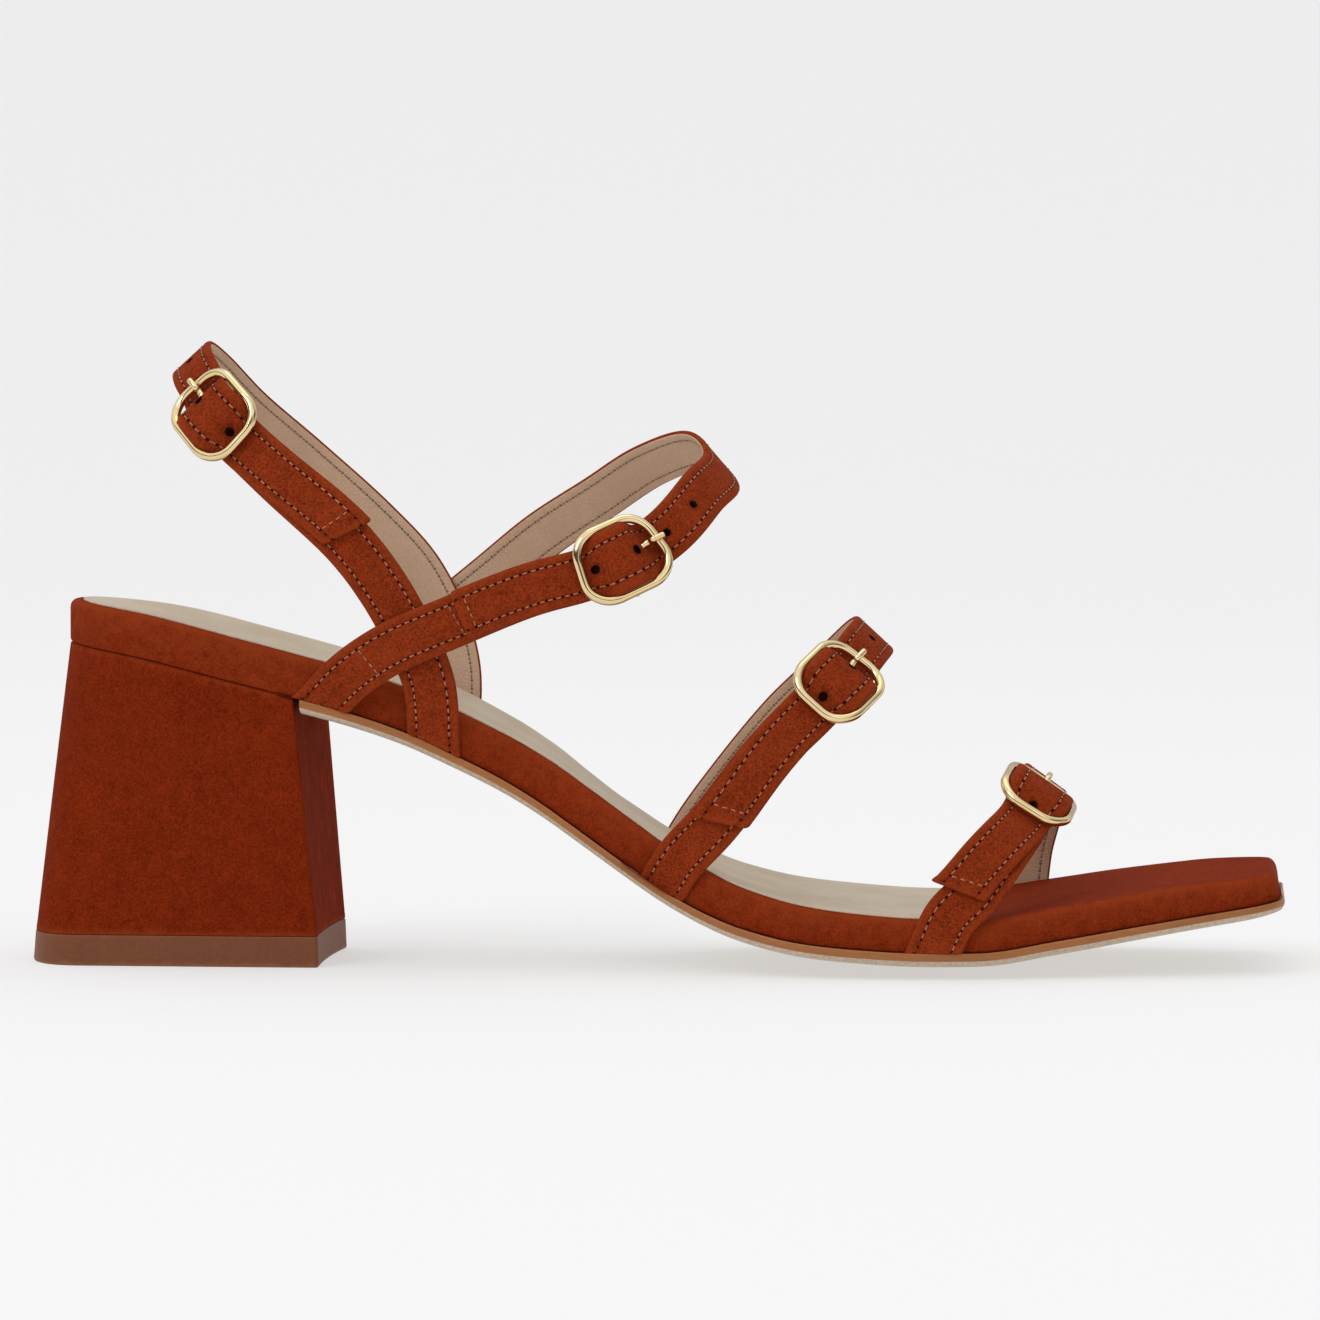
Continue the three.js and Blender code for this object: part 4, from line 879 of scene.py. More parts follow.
MIDDLE = {"spread": 33.5, "rise": 51, "buckle": 53.6, "tip": 36, "skew": -28, "shift": -0.9,
          "rows": [
    (0.502, "wall", "feather", -106, 0), (0.518, -0.95, -0.01, -104, 2), (0.545, -1, 0.19, -97, 7),
    (0.587, -0.96, 0.51, -86, 16), (0.628, -0.81, 0.75, -72, 27), (0.648, -0.63, 0.855, -58, 35),
    (0.661, -0.36, 0.955, -32, 43), (0.667, 0, 1, 0, 47), (0.656, 0.36, 0.965, 30, 45),
    (0.624, 0.71, 0.805, 60, 36), (0.585, 0.91, 0.59, 78, 22), (0.541, 0.96, 0.265, 90, 10),
    (0.511, 0.86, -0.005, 98, 2), (0.493, "wall", "feather", 100, 0)]}
TOE = {"spread": 38, "rise": 22.8, "buckle": 42.8, "tip": 31, "skew": -26, "shift": 2.5, "rows": [
    (0.723, "wall", "feather", -88, 0), (0.736, -1.005, 0.02, -87, 1),
    (0.755, -0.98, 0.22, -84, 10),
    (0.777, -0.86, 0.52, -75, 26), (0.794, -0.66, 0.75, -56, 42), (0.803, -0.42, 0.9, -28, 52),
    (0.808, -0.1, 0.98, -3, 55), (0.807, 0.22, 0.96, 20, 52), (0.802, 0.54, 0.85, 48, 46),
    (0.798, 0.82, 0.63, 70, 32), (0.79, 0.965, 0.33, 80, 16), (0.786, 1.01, 0.02, 84, 2),
    (0.784, "wall", "feather", 84, 0)]}

# %% Curve through points in space
def space_curve(points):
    """A curve that passes through all points without overshooting where they lie close."""
    dots = np.array(points, dtype=float)
    dots = np.vstack([2 * dots[0] - dots[1], dots, 2 * dots[-1] - dots[-2]])
    gaps = np.maximum(np.linalg.norm(np.diff(dots, axis=0), axis=1) ** 0.5, 1e-4)

    def at(share):
        place = min(max(share, 0.0), 1.0) * (len(dots) - 3)
        i = min(int(place), len(dots) - 4)
        t = place - i
        p0, p1, p2, p3 = dots[i:i + 4]
        d0, d1, d2 = gaps[i:i + 3]
        leave = ((p1 - p0) / d0 - (p2 - p0) / (d0 + d1) + (p2 - p1) / d1) * d1
        arrive = ((p2 - p1) / d1 - (p3 - p1) / (d1 + d2) + (p3 - p2) / d2) * d1
        return (p1 + leave * t + (3 * (p2 - p1) - 2 * leave - arrive) * t * t
                + (2 * (p1 - p2) + leave + arrive) * t ** 3)
    return at


# %% A strap's line with its three directions
def strap_path(strap):
    spots, faces = [], []
    for along, out, up, turn, tilt in strap["rows"]:
        x, side = to_x(along), -1 if -180 < turn < 0 else 1
        wall = bed_halves(x)[0 if side < 0 else 1] + side * (STRAP_PROUD - STRAP_THICK / 2)
        spots.append(np.array([
            x, wall if out == "wall" else out * strap["spread"],
            feather_z(x, side) if up == "feather" else rim_z(x, -1) + up * strap["rise"]]))
        a, e = math.radians(turn), math.radians(tilt)
        faces.append((math.cos(a) * math.cos(e), math.sin(a) * math.cos(e), math.sin(e)))

    def buried(above, end):
        way = (end - above) * (1, 0, 1)
        return end + way / np.linalg.norm(way) * STRAP_BURY
    spots = [buried(spots[1], spots[0])] + spots + [buried(spots[-2], spots[-1])]
    line, facing = space_curve(spots), space_curve([faces[0]] + faces + [faces[-1]])
    shares = np.linspace(0, 1, 801)
    steps = np.linalg.norm(np.diff([line(share) for share in shares], axis=0), axis=1)
    reached = np.concatenate([[0], np.cumsum(steps)])

    def at(s):
        share = float(np.interp(s, reached, shares))
        t = line(share + 1e-4) - line(share - 1e-4)
        t /= np.linalg.norm(t)
        n = facing(share)
        n = n - t * np.dot(n, t)
        n /= np.linalg.norm(n)
        return line(share), t, n, np.cross(n, t)
    return {"at": at, "length": float(reached[-1]), "bar": STRAP_BURY + strap["buckle"]}


STRAPS = {"rear": REAR, "instep": INSTEP, "middle": MIDDLE, "toe": TOE}
paths = {name: strap_path(strap) for name, strap in STRAPS.items()}
for name, path in paths.items():
    print(name, "strap:", round(path["length"] - 2 * STRAP_BURY, 1), "mm")

# %% [markdown]
# ## How the layers lie on each other
# Around a buckle there are two layers: the short strap is folded round the buckle's bar, and the
# long strap runs over that fold and settles on the short strap beyond it. So the long strap's
# height above the path rises at the bar and falls again. Where the instep strap crosses the rear
# strap it lies on top and is stitched down, so it is lifted there by about one thickness.

# %% Heights of the layers
BAR_RADIUS, LOOP_WALL, WIRE_RADIUS, PRONG_RADIUS, PRONG_SLOT = 0.6, 0.5, 0.9, 0.6, 1.4
BUCKLE_LENGTH, BUCKLE_WIDTH, BUCKLE_CORNER, PRONG_OVERHANG = 18.0, 15.6, 5.0, 1.3
LOOP_ROOM, END_DIP, SETTLE = 2.0, 1.2, 7.6
LOOP_RADIUS = BAR_RADIUS + GAP + LOOP_WALL
BAR_LIFT = LOOP_RADIUS - STRAP_THICK / 2
OVER_LOOP = BAR_LIFT + LOOP_RADIUS + GAP + STRAP_THICK / 2
OVER_STRAP = STRAP_THICK + 0.12
CROSS_NEAR, CROSS_WIDE, CROSS_ROOM = 7, 5, 0.06  # how far round a crossing its layers are compared
CROSS_LIFTED, CROSS_FLAT = 8.5, 21  # how far from a crossing the lift starts to fade, and ends
BUCKLE_HALF, BUCKLE_SIDE = BUCKLE_LENGTH / 2 - WIRE_RADIUS, BUCKLE_WIDTH / 2 - WIRE_RADIUS


def pressed(u):
    under = smooth(LOOP_ROOM, BUCKLE_HALF - 2 * WIRE_RADIUS, abs(u))
    return END_DIP * under * (1 - smooth(BUCKLE_HALF + 1, 2 * BUCKLE_HALF, abs(u)))


def long_lift(u):
    resting = OVER_STRAP if u < 0 else 0
    return OVER_LOOP + (resting - OVER_LOOP) * smooth(LOOP_ROOM, SETTLE, abs(u)) - pressed(u)


# %% Where the rear and instep straps cross
def crossing(first, second, first_range, second_range):
    """Where two straps cross, and how far the second must be lifted to lie on the first."""
    a = [(s, first["at"](s)) for s in np.arange(*first_range, 1.0)]
    b = [(s, second["at"](s)) for s in np.arange(*second_range, 1.0)]
    far = [[np.linalg.norm(p[1][0] - q[1][0]) for q in b] for p in a]
    i, j = np.unravel_index(np.argmin(far), (len(a), len(b)))
    need = 0.0
    for s, (p, t, n, w) in a:
        for r, (q, *_rest) in b:
            near = abs(s - a[i][0]) < CROSS_NEAR and abs(r - b[j][0]) < CROSS_NEAR
            if near and np.linalg.norm(np.cross(q - p, n)) < CROSS_WIDE:
                need = max(need, STRAP_THICK + CROSS_ROOM - float(np.dot(q - p, n)))
    return a[i][0], b[j][0], need


_, outer_instep, outer_lift = crossing(paths["rear"], paths["instep"], (9, 42), (9, 46))
rear_end, instep_end = paths["rear"]["length"], paths["instep"]["length"]
_, inner_instep, inner_lift = crossing(
    paths["rear"], paths["instep"],
    (rear_end - 46, rear_end - 9), (instep_end - 50, instep_end - 9))
print("outer crossing at", round(outer_instep, 1), "lifted", round(outer_lift, 2), "mm")
print("inner crossing at", round(inner_instep, 1), "lifted", round(inner_lift, 2), "mm")


def crossing_lift(name, s):
    if name != "instep":
        return 0.0
    return (outer_lift * (1 - smooth(CROSS_LIFTED, CROSS_FLAT, abs(s - outer_instep)))
            + inner_lift * (1 - smooth(CROSS_LIFTED, CROSS_FLAT, abs(s - inner_instep))))


# %% A layer: a path with its own lift, width, sideways shift and slanted tip
BULGE = 0.27  # how much wider the long strap is where it is squeezed up through the frame
TIP_SKEW_END, TIP_SHIFT_END = 9, 6  # mm: past the tip, and short of the bar
FOOT_REACH, FEATHER_ROOM = 12, 0.02  # how much of a strap's end is kept above the footbed's edge


def short_layer(name):
    bar = paths[name]["bar"]
    return {"at": paths[name]["at"], "length": paths[name]["length"],
            "wide": lambda s: 1.0, "shift": lambda s: 0.0, "slant": lambda s: 0.0,
            "lift": lambda s: crossing_lift(name, s) - pressed(s - bar)}


def long_layer(name):
    strap, bar = STRAPS[name], paths[name]["bar"]
    tip = bar - strap["tip"]
    slope = math.tan(math.radians(strap["skew"]))
    return {"at": paths[name]["at"], "tip": tip, "length": paths[name]["length"],
            "lift": lambda s: crossing_lift(name, s) + long_lift(s - bar),
            "wide": lambda s: 1.0 + BULGE * (1 - smooth(3.0, BUCKLE_HALF - 1, abs(s - bar))),
            "shift": lambda s: strap["shift"] * (1 - smooth(tip, bar - TIP_SHIFT_END, s)),
            "slant": lambda s: slope * (1 - smooth(tip, tip + TIP_SKEW_END, s))}


def feather_below(spot):
    """Height of the footbed's lower edge on the side of the sandal where the spot is."""
    return feather_z(spot[0], -1 if spot[1] < 0 else 1)


def place(layer, s, across, out):
    """The point of a layer at s along it, across from its middle and out from its face."""
    p, t, n, w = layer["at"](s)
    spot = (p + w * (across * layer["wide"](s) + layer["shift"](s)) + n * (out + layer["lift"](s))
            + t * (across * layer["slant"](s)))
    foot = STRAP_BURY + FOOT_REACH
    if s < foot or s > layer["length"] - foot:
        spot[2] = max(spot[2], feather_below(spot) + FEATHER_ROOM)
    return spot


# %% [markdown]
# ## A strap in section
# The suede is folded over both long edges, so the edges are round and a little thicker. The seam
# pulls the suede down into a shallow trough. The beige lining is glued inside and cut a little
# narrower, so its pale edge shows when the strap is seen from the side. The section is a loop of
# points, and the strap is that loop repeated every millimetre along its path.

# %% Section of a strap
FACE = [(0.0, 0.65), (1.3, 0.65), (2.6, 0.64), (2.9, 0.585), (SEAM, 0.55), (3.3, 0.585),
        (3.65, 0.655), (4.2, 0.66), (4.62, 0.54), (4.9, 0.3), (5.0, 0.0)]
FOLD = [(4.93, -0.2), (4.74, -0.3)]
LINING = [(4.68, -0.33), (4.66, -0.56), (4.5, -0.65), (3.4, -0.645), (SEAM, -0.58), (2.8, -0.645),
          (1.3, -0.65), (0.0, -0.65)]
half_loop = [(a, h, 0) for a, h in FACE + FOLD] + [(a, h, 1) for a, h in LINING]
section = half_loop + [(-a, h, kind) for a, h, kind in half_loop[-2:0:-1]]
section_kinds = []
for i, (a, h, kind) in enumerate(section):
    section_kinds.append(1 if kind == 1 and section[(i + 1) % len(section)][2] == 1 else 0)
face_columns = [section.index((-1.3, 0.65, 0)), 0, section.index((1.3, 0.65, 0))]
print("points in the section:", len(section))

# %% Helper: the places of a strap's rows
HOLE_RADIUS, HOLE_PATCH = 0.7, 1.3
HOLE_RINGS = ((HOLE_RADIUS + 0.14, 0.62), (HOLE_RADIUS, 0.44), (HOLE_RADIUS, -0.4))


def row_spots(start, end, holes, round_start):
    spots = [s for s in np.arange(math.ceil(start), end, 1.0) if s > start + 1.3 and s < end - 0.4]
    for hole in holes:
        spots = [s for s in spots if abs(s - hole) > HOLE_PATCH + 0.35]
        spots += [hole - HOLE_PATCH, hole, hole + HOLE_PATCH]
    lead = [0.0, 0.06, 0.18, 0.38, 0.7, 1.05] if round_start else [0.0, 0.6]
    return sorted(spots + [start + step for step in lead] + [end])


# %% Piece maker: one strap with rounded tip and punched holes
def strap_piece(name, layer, start, end, holes=(), round_start=False):
    spots = row_spots(start, end, holes, round_start)
    count = len(section)
    points, places, edges, seams, faces, kinds = [], [], [], [], [], []

    def add(s, a, h, edge=0.0, seam=0.0, base=None):
        points.append(place(layer, s, a, h))
        places.append((s / 1000, (a if base is None else base) / 1000, h / 1000))
        edges.append(edge)
        seams.append(seam)
        return len(points) - 1

    for s in spots:
        into = s - start
        narrow, thin, tip_edge = 0.0, 1.0, 0.0
        if round_start and into < 1.1:
            narrow = 0.7 - math.sqrt(max(0.49 - max(0.7 - into, 0) ** 2, 0))
            thin = 0.5 + 0.5 * math.sqrt(max(1 - (1 - min(into / 0.5, 1)) ** 2, 0))
        if round_start:
            tip_edge = 1 - smooth(0.5, 1.7, into)
        for a, h, kind in section:
            edge = max(smooth(3.3, 4.7, abs(a)), tip_edge)
            from_seam = abs(abs(a) - SEAM)
            # The seam mark is where painted shade goes: the seam's trough.
            seam = 1.0 if from_seam < 0.05 else (0.35 if from_seam < 0.3 else 0.0)
            add(s, a * (1 - narrow / 5), h * thin, edge, seam, a)

    skipped = set()
    for hole in holes:
        r = spots.index(hole)
        for row in (r - 1, r):
            for c in range(2):
                pair = (face_columns[c], face_columns[c + 1])
                skipped.add((row, min(pair) if abs(pair[0] - pair[1]) == 1 else max(pair)))
        around = [(-1, 0), (-1, 1), (-1, 2), (0, 2), (1, 2), (1, 1), (1, 0), (0, 0)]
        rings = [[(r + row) * count + face_columns[c] for row, c in around]]
        for radius, h in HOLE_RINGS:
            ring = []
            for row, c in around:
                way = np.array([row, c - 1], dtype=float)
                way /= np.linalg.norm(way)
                # Seam mark 0.8 on the hole's rings: painted shade on the rim of the hole.
                ring.append(add(hole + radius * way[0], radius * way[1], h, 0.0, 0.8))
            rings.append(ring)
        for first, second in zip(rings, rings[1:]):
            for k in range(8):
                after = (k + 1) % 8
                faces.append((first[k], second[k], second[after], first[after]))
                kinds.append(0 if second is rings[1] else 2)
        # Each hole is blind: its floor takes the painted hole shadow where the hole would open.
        faces.append(tuple(rings[-1][::-1]))
        kinds.append(2)

    for i in range(len(spots) - 1):
        for k in range(count):
            if (i, k) in skipped:
                continue
            after = (k + 1) % count
            row, ahead = i * count, (i + 1) * count
            faces.append((row + k, ahead + k, ahead + after, row + after))
            kinds.append(section_kinds[k])
    last = (len(spots) - 1) * count
    faces.append(tuple(range(count)))
    faces.append(tuple(range(last + count - 1, last - 1, -1)))
    kinds += [0, 0]
    piece = make_piece(name, points, faces, [strap_suede, lining_leather, raw_hole_shadow], kinds,
                       {"edge": edges, "seam": seams, "strap_place": places})
    return piece


# %% [markdown]
# ## Two pieces for each strap
# The short piece starts under the footbed's edge and ends folded round the buckle's bar. The
# fold is two small rolls, because the buckle's prong needs the slot between them. The long piece
# has four punched holes, and its free end is cut at a slant and stitched across.

# %% Pieces: the short and the long straps
HOLE_SPACING, FIRST_HOLE, HOLE_COUNT = 8.3, -5.4, 4
STRAP_INSIDE = 1.0  # mm of a strap's buried line that is left out at each end
NODES = {"rear": ("upper_ankle_lateral", "upper_ankle_medial"),
         "instep": ("upper_ankle_lateral", "upper_ankle_medial"),
         "middle": ("strap_middle_lateral", "strap_middle_medial"),
         "toe": ("strap_toe_lateral", "strap_toe_medial")}
short_layers = {name: short_layer(name) for name in STRAPS}
long_layers = {name: long_layer(name) for name in STRAPS}
for name, path in paths.items():
    short_strap = strap_piece(f"{name}_short_strap", short_layers[name], STRAP_INSIDE,
                              path["bar"] - LOOP_RADIUS * 0.6)
    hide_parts(NODES[name][0])
    punched = [path["bar"] + FIRST_HOLE + i * HOLE_SPACING for i in range(HOLE_COUNT)]
    long_strap = strap_piece(f"{name}_long_strap", long_layers[name], long_layers[name]["tip"],
                             path["length"] - STRAP_INSIDE, punched, True)
    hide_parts(NODES[name][1])
    print(name, "strap faces:", len(short_strap.data.polygons), len(long_strap.data.polygons))


# %% Pieces: the rolls round the buckle bars
def buckle_basis(name):
    p, t, n, w = paths[name]["at"](paths[name]["bar"])
    lift = crossing_lift(name, paths[name]["bar"])
    return lambda u, across, out: p + t * u + w * across + n * (out + lift)


def bar_sleeve(seat, start, end, ease, room, steps, points, faces):
    """A sleeve round the buckle's bar, from start to end across it, with its rims eased."""
    outer, inner = LOOP_RADIUS, BAR_RADIUS + room
    profile = [(start, outer - ease), (start + ease, outer), (end - ease, outer),
               (end, outer - ease), (end, inner), (start, inner)]
    base, width = len(points), len(profile)
    for i in range(steps):
        turn = 2 * math.pi * i / steps
        for across, radius in profile:
            points.append(seat(radius * math.cos(turn), across, BAR_LIFT + radius * math.sin(turn)))
    for i in range(steps):
        ring, ahead = base + i * width, base + (i + 1) % steps * width
        for k in range(width):
            after = (k + 1) % width
            faces.append((ring + k, ring + after, ahead + after, ahead + k))


ROLL_HALF = 4.7  # mm from the strap's middle to the end of a roll
for name in STRAPS:
    points, faces = [], []
    for start, end in ((-ROLL_HALF, -PRONG_SLOT), (PRONG_SLOT, ROLL_HALF)):
        bar_sleeve(buckle_basis(name), start, end, 0.12, 0.2, 20, points, faces)
    roll = make_piece(f"{name}_bar_roll", points, faces, [strap_suede], None,
                      {"edge": [0.5] * len(points), "seam": [0.0] * len(points),
                       "strap_place": [(0.0, 0.0, 0.0)] * len(points)})
    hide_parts(NODES[name][0])

# %% [markdown]
# ## Stitching
# A lock stitch shows as short strands of thread that dive into a needle hole at each end. Each
# one here is a small spindle: five rings of six points that start below the surface, rise over
# it and go down again. There are hundreds, so all stitches of one strap side are one mesh.

# %% Helper: one stitch between two spots of a layer
SPINDLE = [  # share of the way, rise over the surface, radius
    (0.02, -0.14, 0.08), (0.16, 0.02, 0.125), (0.5, 0.08, 0.14), (0.84, 0.02, 0.125),
    (0.98, -0.14, 0.08),
]
STITCH_ENDS = (0.17, 0.83)  # where a stitch starts and ends in its share of the seam
FEATHER_CLEAR = 0.4  # mm that a seam keeps above the footbed's edge


def between(first, second, share):
    return tuple(a + (b - a) * share for a, b in zip(first, second))


def stitch(points, faces, layer, first, second, surface, sign):
    spots = [place(layer, *between(first, second, share), surface + sign * rise)
             for share, rise, _ in SPINDLE]
    way = spots[-1] - spots[0]
    way /= np.linalg.norm(way)
    face = layer["at"](first[0])[2]
    beside = np.cross(way, face)
    beside /= np.linalg.norm(beside)
    above = np.cross(beside, way)
    base = len(points)
    for spot, (_, _, radius) in zip(spots, SPINDLE):
        for k in range(6):
            turn = 2 * math.pi * k / 6
            points.append(spot + beside * radius * math.cos(turn) + above * radius * math.sin(turn))
    for i in range(len(SPINDLE) - 1):
        for k in range(6):
            a, b = base + i * 6 + k, base + i * 6 + (k + 1) % 6
            faces.append((a, a + 6, b + 6, b))
    faces.append(tuple(base + k for k in range(6)))
    faces.append(tuple(base + 24 + k for k in range(5, -1, -1)))


def seam_line(points, faces, layer, first, second, surface, sign):
    """A run of stitches from one spot to another, each a (along, across) pair."""
    length = math.hypot(second[0] - first[0], second[1] - first[1])
    count = max(round(length / PITCH), 1)
    for i in range(count):
        ends = [between(first, second, (i + share) / count) for share in STITCH_ENDS]
        lowest = min((place(layer, s, across, 0) for s, across in ends), key=lambda spot: spot[2])
        if lowest[2] > feather_below(lowest) + FEATHER_CLEAR:
            stitch(points, faces, layer, ends[0], ends[1], surface, sign)


def on_pitch(s, up=True):
    """The next needle hole at or after s, or before it."""
    return PITCH * (math.ceil(s / PITCH) if up else math.floor(s / PITCH))


# %% Pieces: the stitches of every strap
BOX_ENDS = (outer_instep - 8.6, long_layers["instep"]["tip"] - 0.9)
BOX_SLANT, BOX_SURFACE = 0.35, 0.64
LOOKS = (("face", 0.56, 1, tan_thread), ("lining", -0.6, -1, beige_thread))
for name, path in paths.items():
    outer_end = STRAP_BURY + FEATHER_CLEAR
    inner_end = path["length"] - STRAP_BURY - FEATHER_CLEAR
    tip = long_layers[name]["tip"]
    sides = {"short": (short_layers[name], on_pitch(outer_end), on_pitch(path["bar"] - 3, False)),
             "long": (long_layers[name], on_pitch(tip + 1.9), on_pitch(inner_end, False))}
    for side, (layer, start, end) in sides.items():
        for look, surface, sign, thread in LOOKS:
            points, faces = [], []
            for across in (-SEAM, SEAM):
                seam_line(points, faces, layer, (start, across), (end, across), surface, sign)
            if side == "long":
                seam_line(points, faces, layer, (start, -SEAM), (start, SEAM),
                          surface + 0.08 * sign, sign)
            elif name == "instep" and look == "face":
                for s in BOX_ENDS:
                    seam_line(points, faces, layer, (s + BOX_SLANT, -SEAM), (s - BOX_SLANT, SEAM),
                              BOX_SURFACE, sign)
            thread_piece = make_piece(f"{name}_{side}_{look}_stitches", points, faces, [thread])
            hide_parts(NODES[name][0 if side == "short" else 1])
    print(name, "stitches done")

# %% [markdown]
# ## Buckles
# Each buckle is a bent wire frame with a bar across its middle and one prong that turns on that
# bar. The wire is a circle swept along a rounded rectangle, which itself follows the bend of the
# strap under it. The prong comes up through the long strap and rests on the frame.

# %% Helper: a tube along points, with a radius at each of them
def tube(points_along, radii, sides, closed, up, points, faces):
    count, base = len(points_along), len(points)
    for i, p in enumerate(points_along):
        ahead = points_along[(i + 1) % count if closed else min(i + 1, count - 1)]
        behind = points_along[(i - 1) % count if closed else max(i - 1, 0)]
        t = ahead - behind
        t = t / np.linalg.norm(t)
        a = np.cross(t, up)
        a /= np.linalg.norm(a)
        b = np.cross(a, t)
        for k in range(sides):
            turn = 2 * math.pi * k / sides
            points.append(p + a * radii[i] * math.cos(turn) + b * radii[i] * math.sin(turn))
    for i in range(count if closed else count - 1):
        after = (i + 1) % count
        for k in range(sides):
            l = (k + 1) % sides
            faces.append((base + i * sides + k, base + after * sides + k,
                          base + after * sides + l, base + i * sides + l))
    if not closed:
        faces.append(tuple(base + k for k in range(sides)))
        faces.append(tuple(base + (count - 1) * sides + k for k in range(sides - 1, -1, -1)))


def wire_lift(u):
    low, high = (long_lift(end * (BUCKLE_HALF - 2 * WIRE_RADIUS)) for end in (-1, 1))
    return low + (high - low) * (u / BUCKLE_HALF + 1) / 2 + STRAP_THICK / 2 + GAP + WIRE_RADIUS


def wire_point(name, u, across):
    p, _, n, w = paths[name]["at"](paths[name]["bar"] + u)
    return p + w * across + n * (wire_lift(u) + crossing_lift(name, paths[name]["bar"] + u))


# %% Pieces: buckle frames
for name in STRAPS:
    outline = []
    for su, sw, start in ((1, 1, 0), (-1, 1, 1), (-1, -1, 2), (1, -1, 3)):
        for i in range(13):
            turn = (start + i / 12) * math.pi / 2
            u = su * (BUCKLE_HALF - BUCKLE_CORNER) + BUCKLE_CORNER * math.cos(turn)
            across = sw * (BUCKLE_SIDE - BUCKLE_CORNER) + BUCKLE_CORNER * math.sin(turn)
            outline.append(wire_point(name, u, across))
    outline = [p for i, p in enumerate(outline) if np.linalg.norm(p - outline[i - 1]) > 0.05]
    smooth_outline = []
    for i, p in enumerate(outline):
        after = outline[(i + 1) % len(outline)]
        parts = max(int(np.linalg.norm(after - p) / 0.8), 1)
        smooth_outline += [p + (after - p) * k / parts for k in range(parts)]
    points, faces = [], []
    face = paths[name]["at"](paths[name]["bar"])[2]
    tube(smooth_outline, [WIRE_RADIUS] * len(smooth_outline), 16, True, face, points, faces)
    seat = buckle_basis(name)
    bar_line = [seat(0, across, BAR_LIFT) for across in (-BUCKLE_SIDE, 0, BUCKLE_SIDE)]
    tube(bar_line, [BAR_RADIUS] * 3, 14, False, face, points, faces)
    for side in (-1, 1):
        post = [seat(0, side * BUCKLE_SIDE, BAR_LIFT - BAR_RADIUS - 0.1),
                seat(0, side * BUCKLE_SIDE, BAR_LIFT - BAR_RADIUS + 0.15),
                seat(0, side * BUCKLE_SIDE, wire_lift(0))]
        along = paths[name]["at"](paths[name]["bar"])[1]
        post_radii = [BAR_RADIUS - 0.1, BAR_RADIUS + 0.15, BAR_RADIUS + 0.15]
        tube(post, post_radii, 14, False, along, points, faces)
    buckle = make_piece(f"{name}_buckle", points, faces, [gold])
    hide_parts(f"buckle_frame_{name}")
print("buckle faces:", len(buckle.data.polygons))

# %% Pieces: prongs
PRONG_TIP = [0.58, 0.54, 0.48, 0.38, 0.25, 0.08]  # radii of the last points, down to the tip
COLLAR_HALF = 0.95
for name in STRAPS:
    path, seat = paths[name], buckle_basis(name)
    p, t, n, w = path["at"](path["bar"])
    lift = crossing_lift(name, path["bar"])
    end_bar = wire_point(name, BUCKLE_HALF, 0) - p - n * lift
    far, aside, over = (float(np.dot(end_bar, axis)) for axis in (t, w, n))
    over += WIRE_RADIUS + PRONG_RADIUS + 0.05
    side = far - WIRE_RADIUS - PRONG_RADIUS - GAP
    bend = [(LOOP_RADIUS - 0.3, BAR_LIFT), (3.4, BAR_LIFT - 0.1), (side - 1.5, BAR_LIFT),
            (side - 0.5, (BAR_LIFT + over) / 2 - 0.3), (side - 0.1, over - 1),
            (side + 0.7, over - 0.1), (far, over), (far + PRONG_OVERHANG - 0.3, over - 0.05),
            (far + PRONG_OVERHANG, over - 0.1)]
    knots = space_curve([seat(u, aside * smooth(1, side, u), out) for u, out in bend])
    line = [knots(share) for share in np.linspace(0, 1, 46)]
    radii = [PRONG_RADIUS] * (len(line) - len(PRONG_TIP)) + PRONG_TIP
    points, faces = [], []
    tube(line, radii, 14, False, w, points, faces)
    bar_sleeve(seat, -COLLAR_HALF, COLLAR_HALF, 0.15, 0.08, 22, points, faces)
    prong = make_piece(f"{name}_prong", points, faces, [gold])
    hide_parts(f"buckle_prong_{name}")
print("prong faces:", len(prong.data.polygons))

# %% [markdown]
# ## Studio
# The photograph was lit so softly that shadows only gather faintly under the heel and the ball.
# A translucent table that is lit from below does that: the sheet glows a little by itself, and
# its shadows stay pale. The sheet curves up behind the shoe, so that no horizon shows. The room
# around it is bright too, with a dimmer side in front of the toe, which leaves the heel's breast
# darker, and a dark strip at half height, which draws the fine dark lines in the metal.

# %% The paper sweep
paper, tree, shader = new_finish("paper sweep")
tooth = noise(tree, object_place(tree), 420.0, 3.0, 0.6)
feed(tree, shader, {
    "Base Color": blend_colour(tree, tooth, (0.4, 0.4, 0.4, 1.0), (0.43, 0.43, 0.43, 1.0)),
    "Emission Color": (1.0, 1.0, 1.0, 1.0), "Emission Strength": 0.49,
    "Roughness": 0.95, "Specular IOR Level": 0.1,
})
press(tree, shader, tooth, 0.02)
BEND_START, BEND_RADIUS = 1.4, 1.2  # m
profile = [(-3.0, 0.0), (0.0, 0.0), (BEND_START, 0.0)]
for turn in np.linspace(0.1, math.pi / 2, 16):
    profile.append((BEND_START + BEND_RADIUS * math.sin(turn),
                    BEND_RADIUS - BEND_RADIUS * math.cos(turn)))
profile += [(2.6, 3.4)]
sweep_points = [(x, y, z) for y, z in profile for x in (-4.0, 4.0)]
sweep_faces = [(2 * i, 2 * i + 1, 2 * i + 3, 2 * i + 2) for i in range(len(profile) - 1)]
sweep_mesh = bpy.data.meshes.new("paper_sweep")
sweep_mesh.from_pydata(sweep_points, [], sweep_faces)
sweep_mesh.materials.append(paper)
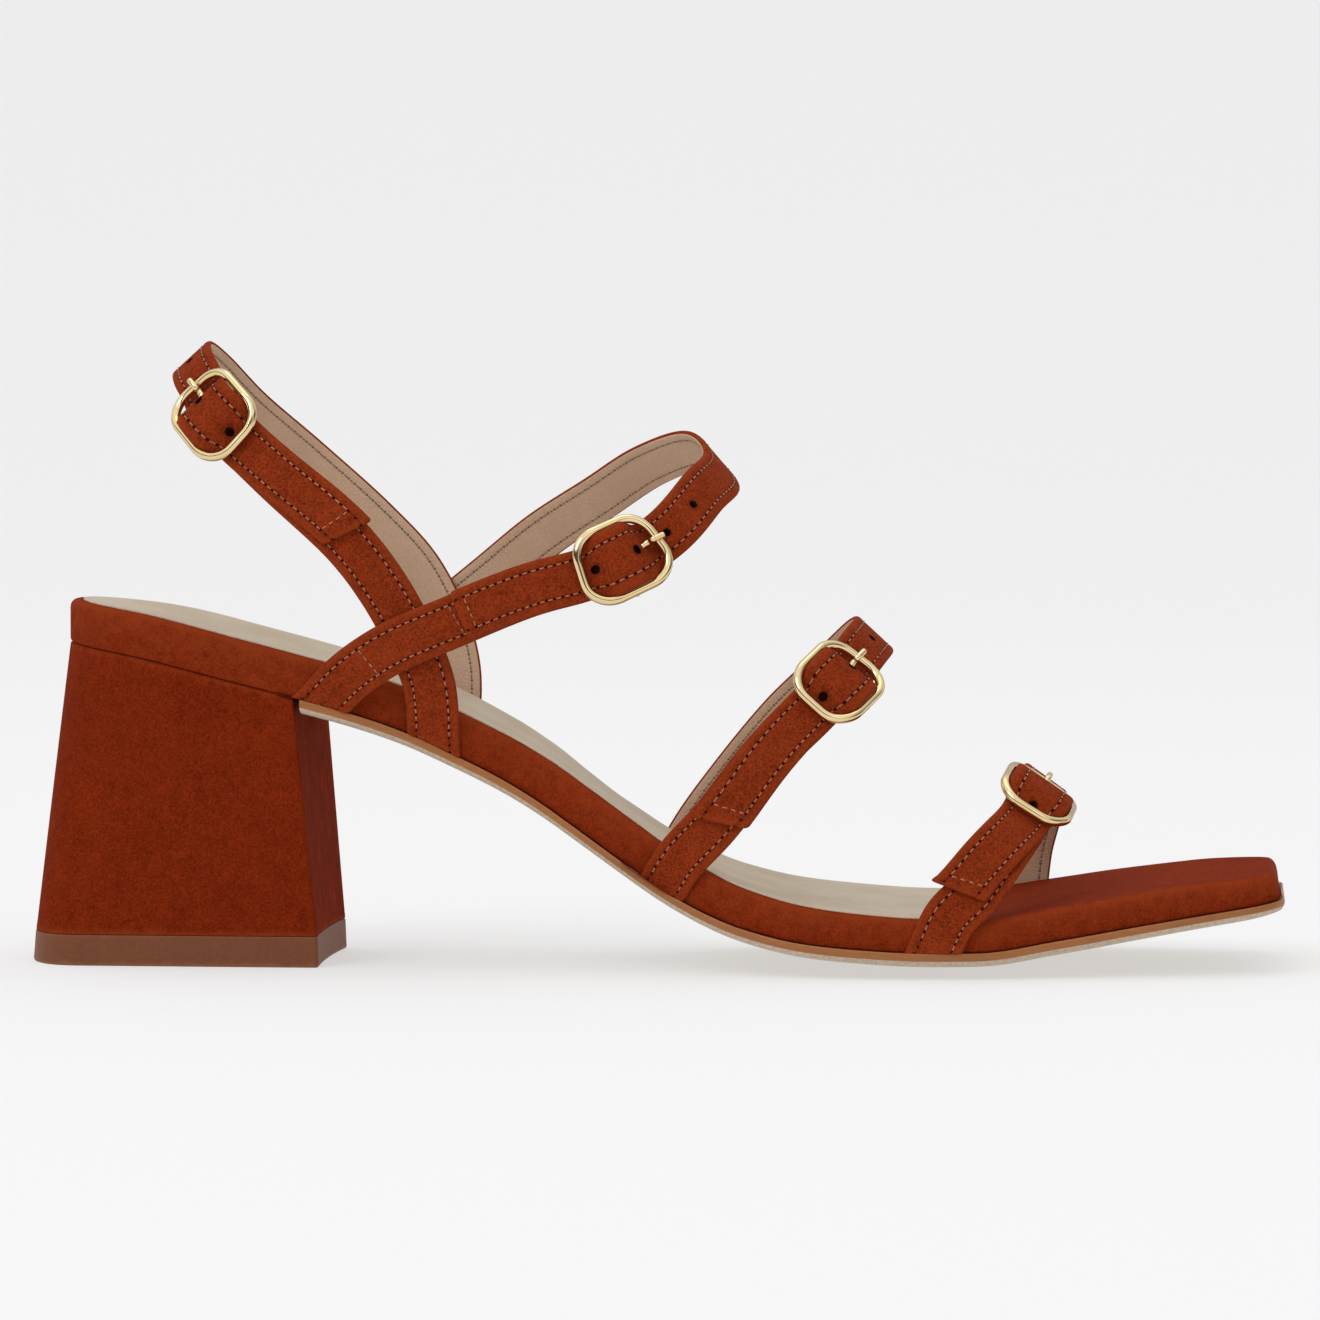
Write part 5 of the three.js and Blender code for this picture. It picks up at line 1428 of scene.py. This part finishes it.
sweep_mesh.polygons.foreach_set("use_smooth", [True] * len(sweep_faces))
paper_sweep = bpy.data.objects.new("paper_sweep", sweep_mesh)
bpy.context.scene.collection.objects.link(paper_sweep)


# %% Lights
def soft_light(name, spot, aim, size, power):
    data = bpy.data.lights.new(name, "AREA")
    data.shape, data.size, data.energy = "DISK", size, power
    lamp = bpy.data.objects.new(name, data)
    lamp.location = spot
    lamp.rotation_euler = (Vector(aim) - Vector(spot)).to_track_quat("-Z", "Y").to_euler()
    bpy.context.scene.collection.objects.link(lamp)


soft_light("key", (-0.9, -1.5, 1.5), (0.08, 0.0, 0.05), 1.1, 9.0)
soft_light("fill", (1.3, -1.3, 0.8), (0.08, 0.0, 0.05), 1.2, 1.6)
soft_light("top", (0.1, 0.3, 1.9), (0.09, 0.0, 0.03), 1.4, 3.0)
world = bpy.context.scene.world or bpy.data.worlds.new("studio")
bpy.context.scene.world = world
world.use_nodes = True
tree = world.node_tree
sky = tree.nodes["Background"]
around = node(tree, "ShaderNodeTexCoord").outputs["Generated"]
toward = node(tree, "ShaderNodeSeparateXYZ", None, {0: around}).outputs
dimmer = ramp(tree, toward[0], 0.35, 0.95, 1.0, 0.45)
low_rim, high_rim = ramp(tree, toward[2], 0.12, 0.17), ramp(tree, toward[2], 0.36, 0.42, 1.0, 0.0)
strip = times(tree, low_rim, high_rim)
strip = times(tree, strip, ramp(tree, toward[1], -0.1, 0.2, 1.0, 0.4))
glow = times(tree, dimmer, calc(tree, "SUBTRACT", 1.0, times(tree, strip, 0.92)))
glow = blend_colour(tree, glow, (0.0, 0.0, 0.0, 1.0), (1.0, 1.0, 1.0, 1.0))
tree.links.new(glow, sky.inputs["Color"])
sky.inputs["Strength"].default_value = 0.97
bpy.context.scene.view_settings.view_transform = "Standard"

# %% [markdown]
# ## Camera
# The photograph was taken from the outer side, slightly in front of the shoe and just above it,
# with a long lens. The distance was fitted to the heel's corners and to the footbed's near and
# far edges. The image is square, 1320 pixels a side.

# %% Camera at the photograph's angle
TARGET = Vector((0.0926, 0.0, 0.0581))
TURN, AWAY, EYE_HEIGHT = math.radians(4.6), 1.32, 0.1191  # away is measured level
lens = bpy.data.cameras.new("camera")
lens.lens, lens.sensor_width, lens.sensor_fit = 186.73, 36.0, "AUTO"
lens.clip_start, lens.clip_end = 0.05, 20.0
camera = bpy.data.objects.new("camera", lens)
camera.location = (TARGET.x + AWAY * math.sin(TURN), -AWAY * math.cos(TURN), EYE_HEIGHT)
camera.rotation_euler = (TARGET - camera.location).to_track_quat("-Z", "Y").to_euler()
bpy.context.scene.collection.objects.link(camera)
bpy.context.scene.camera = camera
print("camera at", [round(v, 4) for v in camera.location])

# %% [markdown]
# The dressed sandal must keep the solid model's size. The last line updates the scene.

# %% Update the scene
bpy.context.view_layer.update()
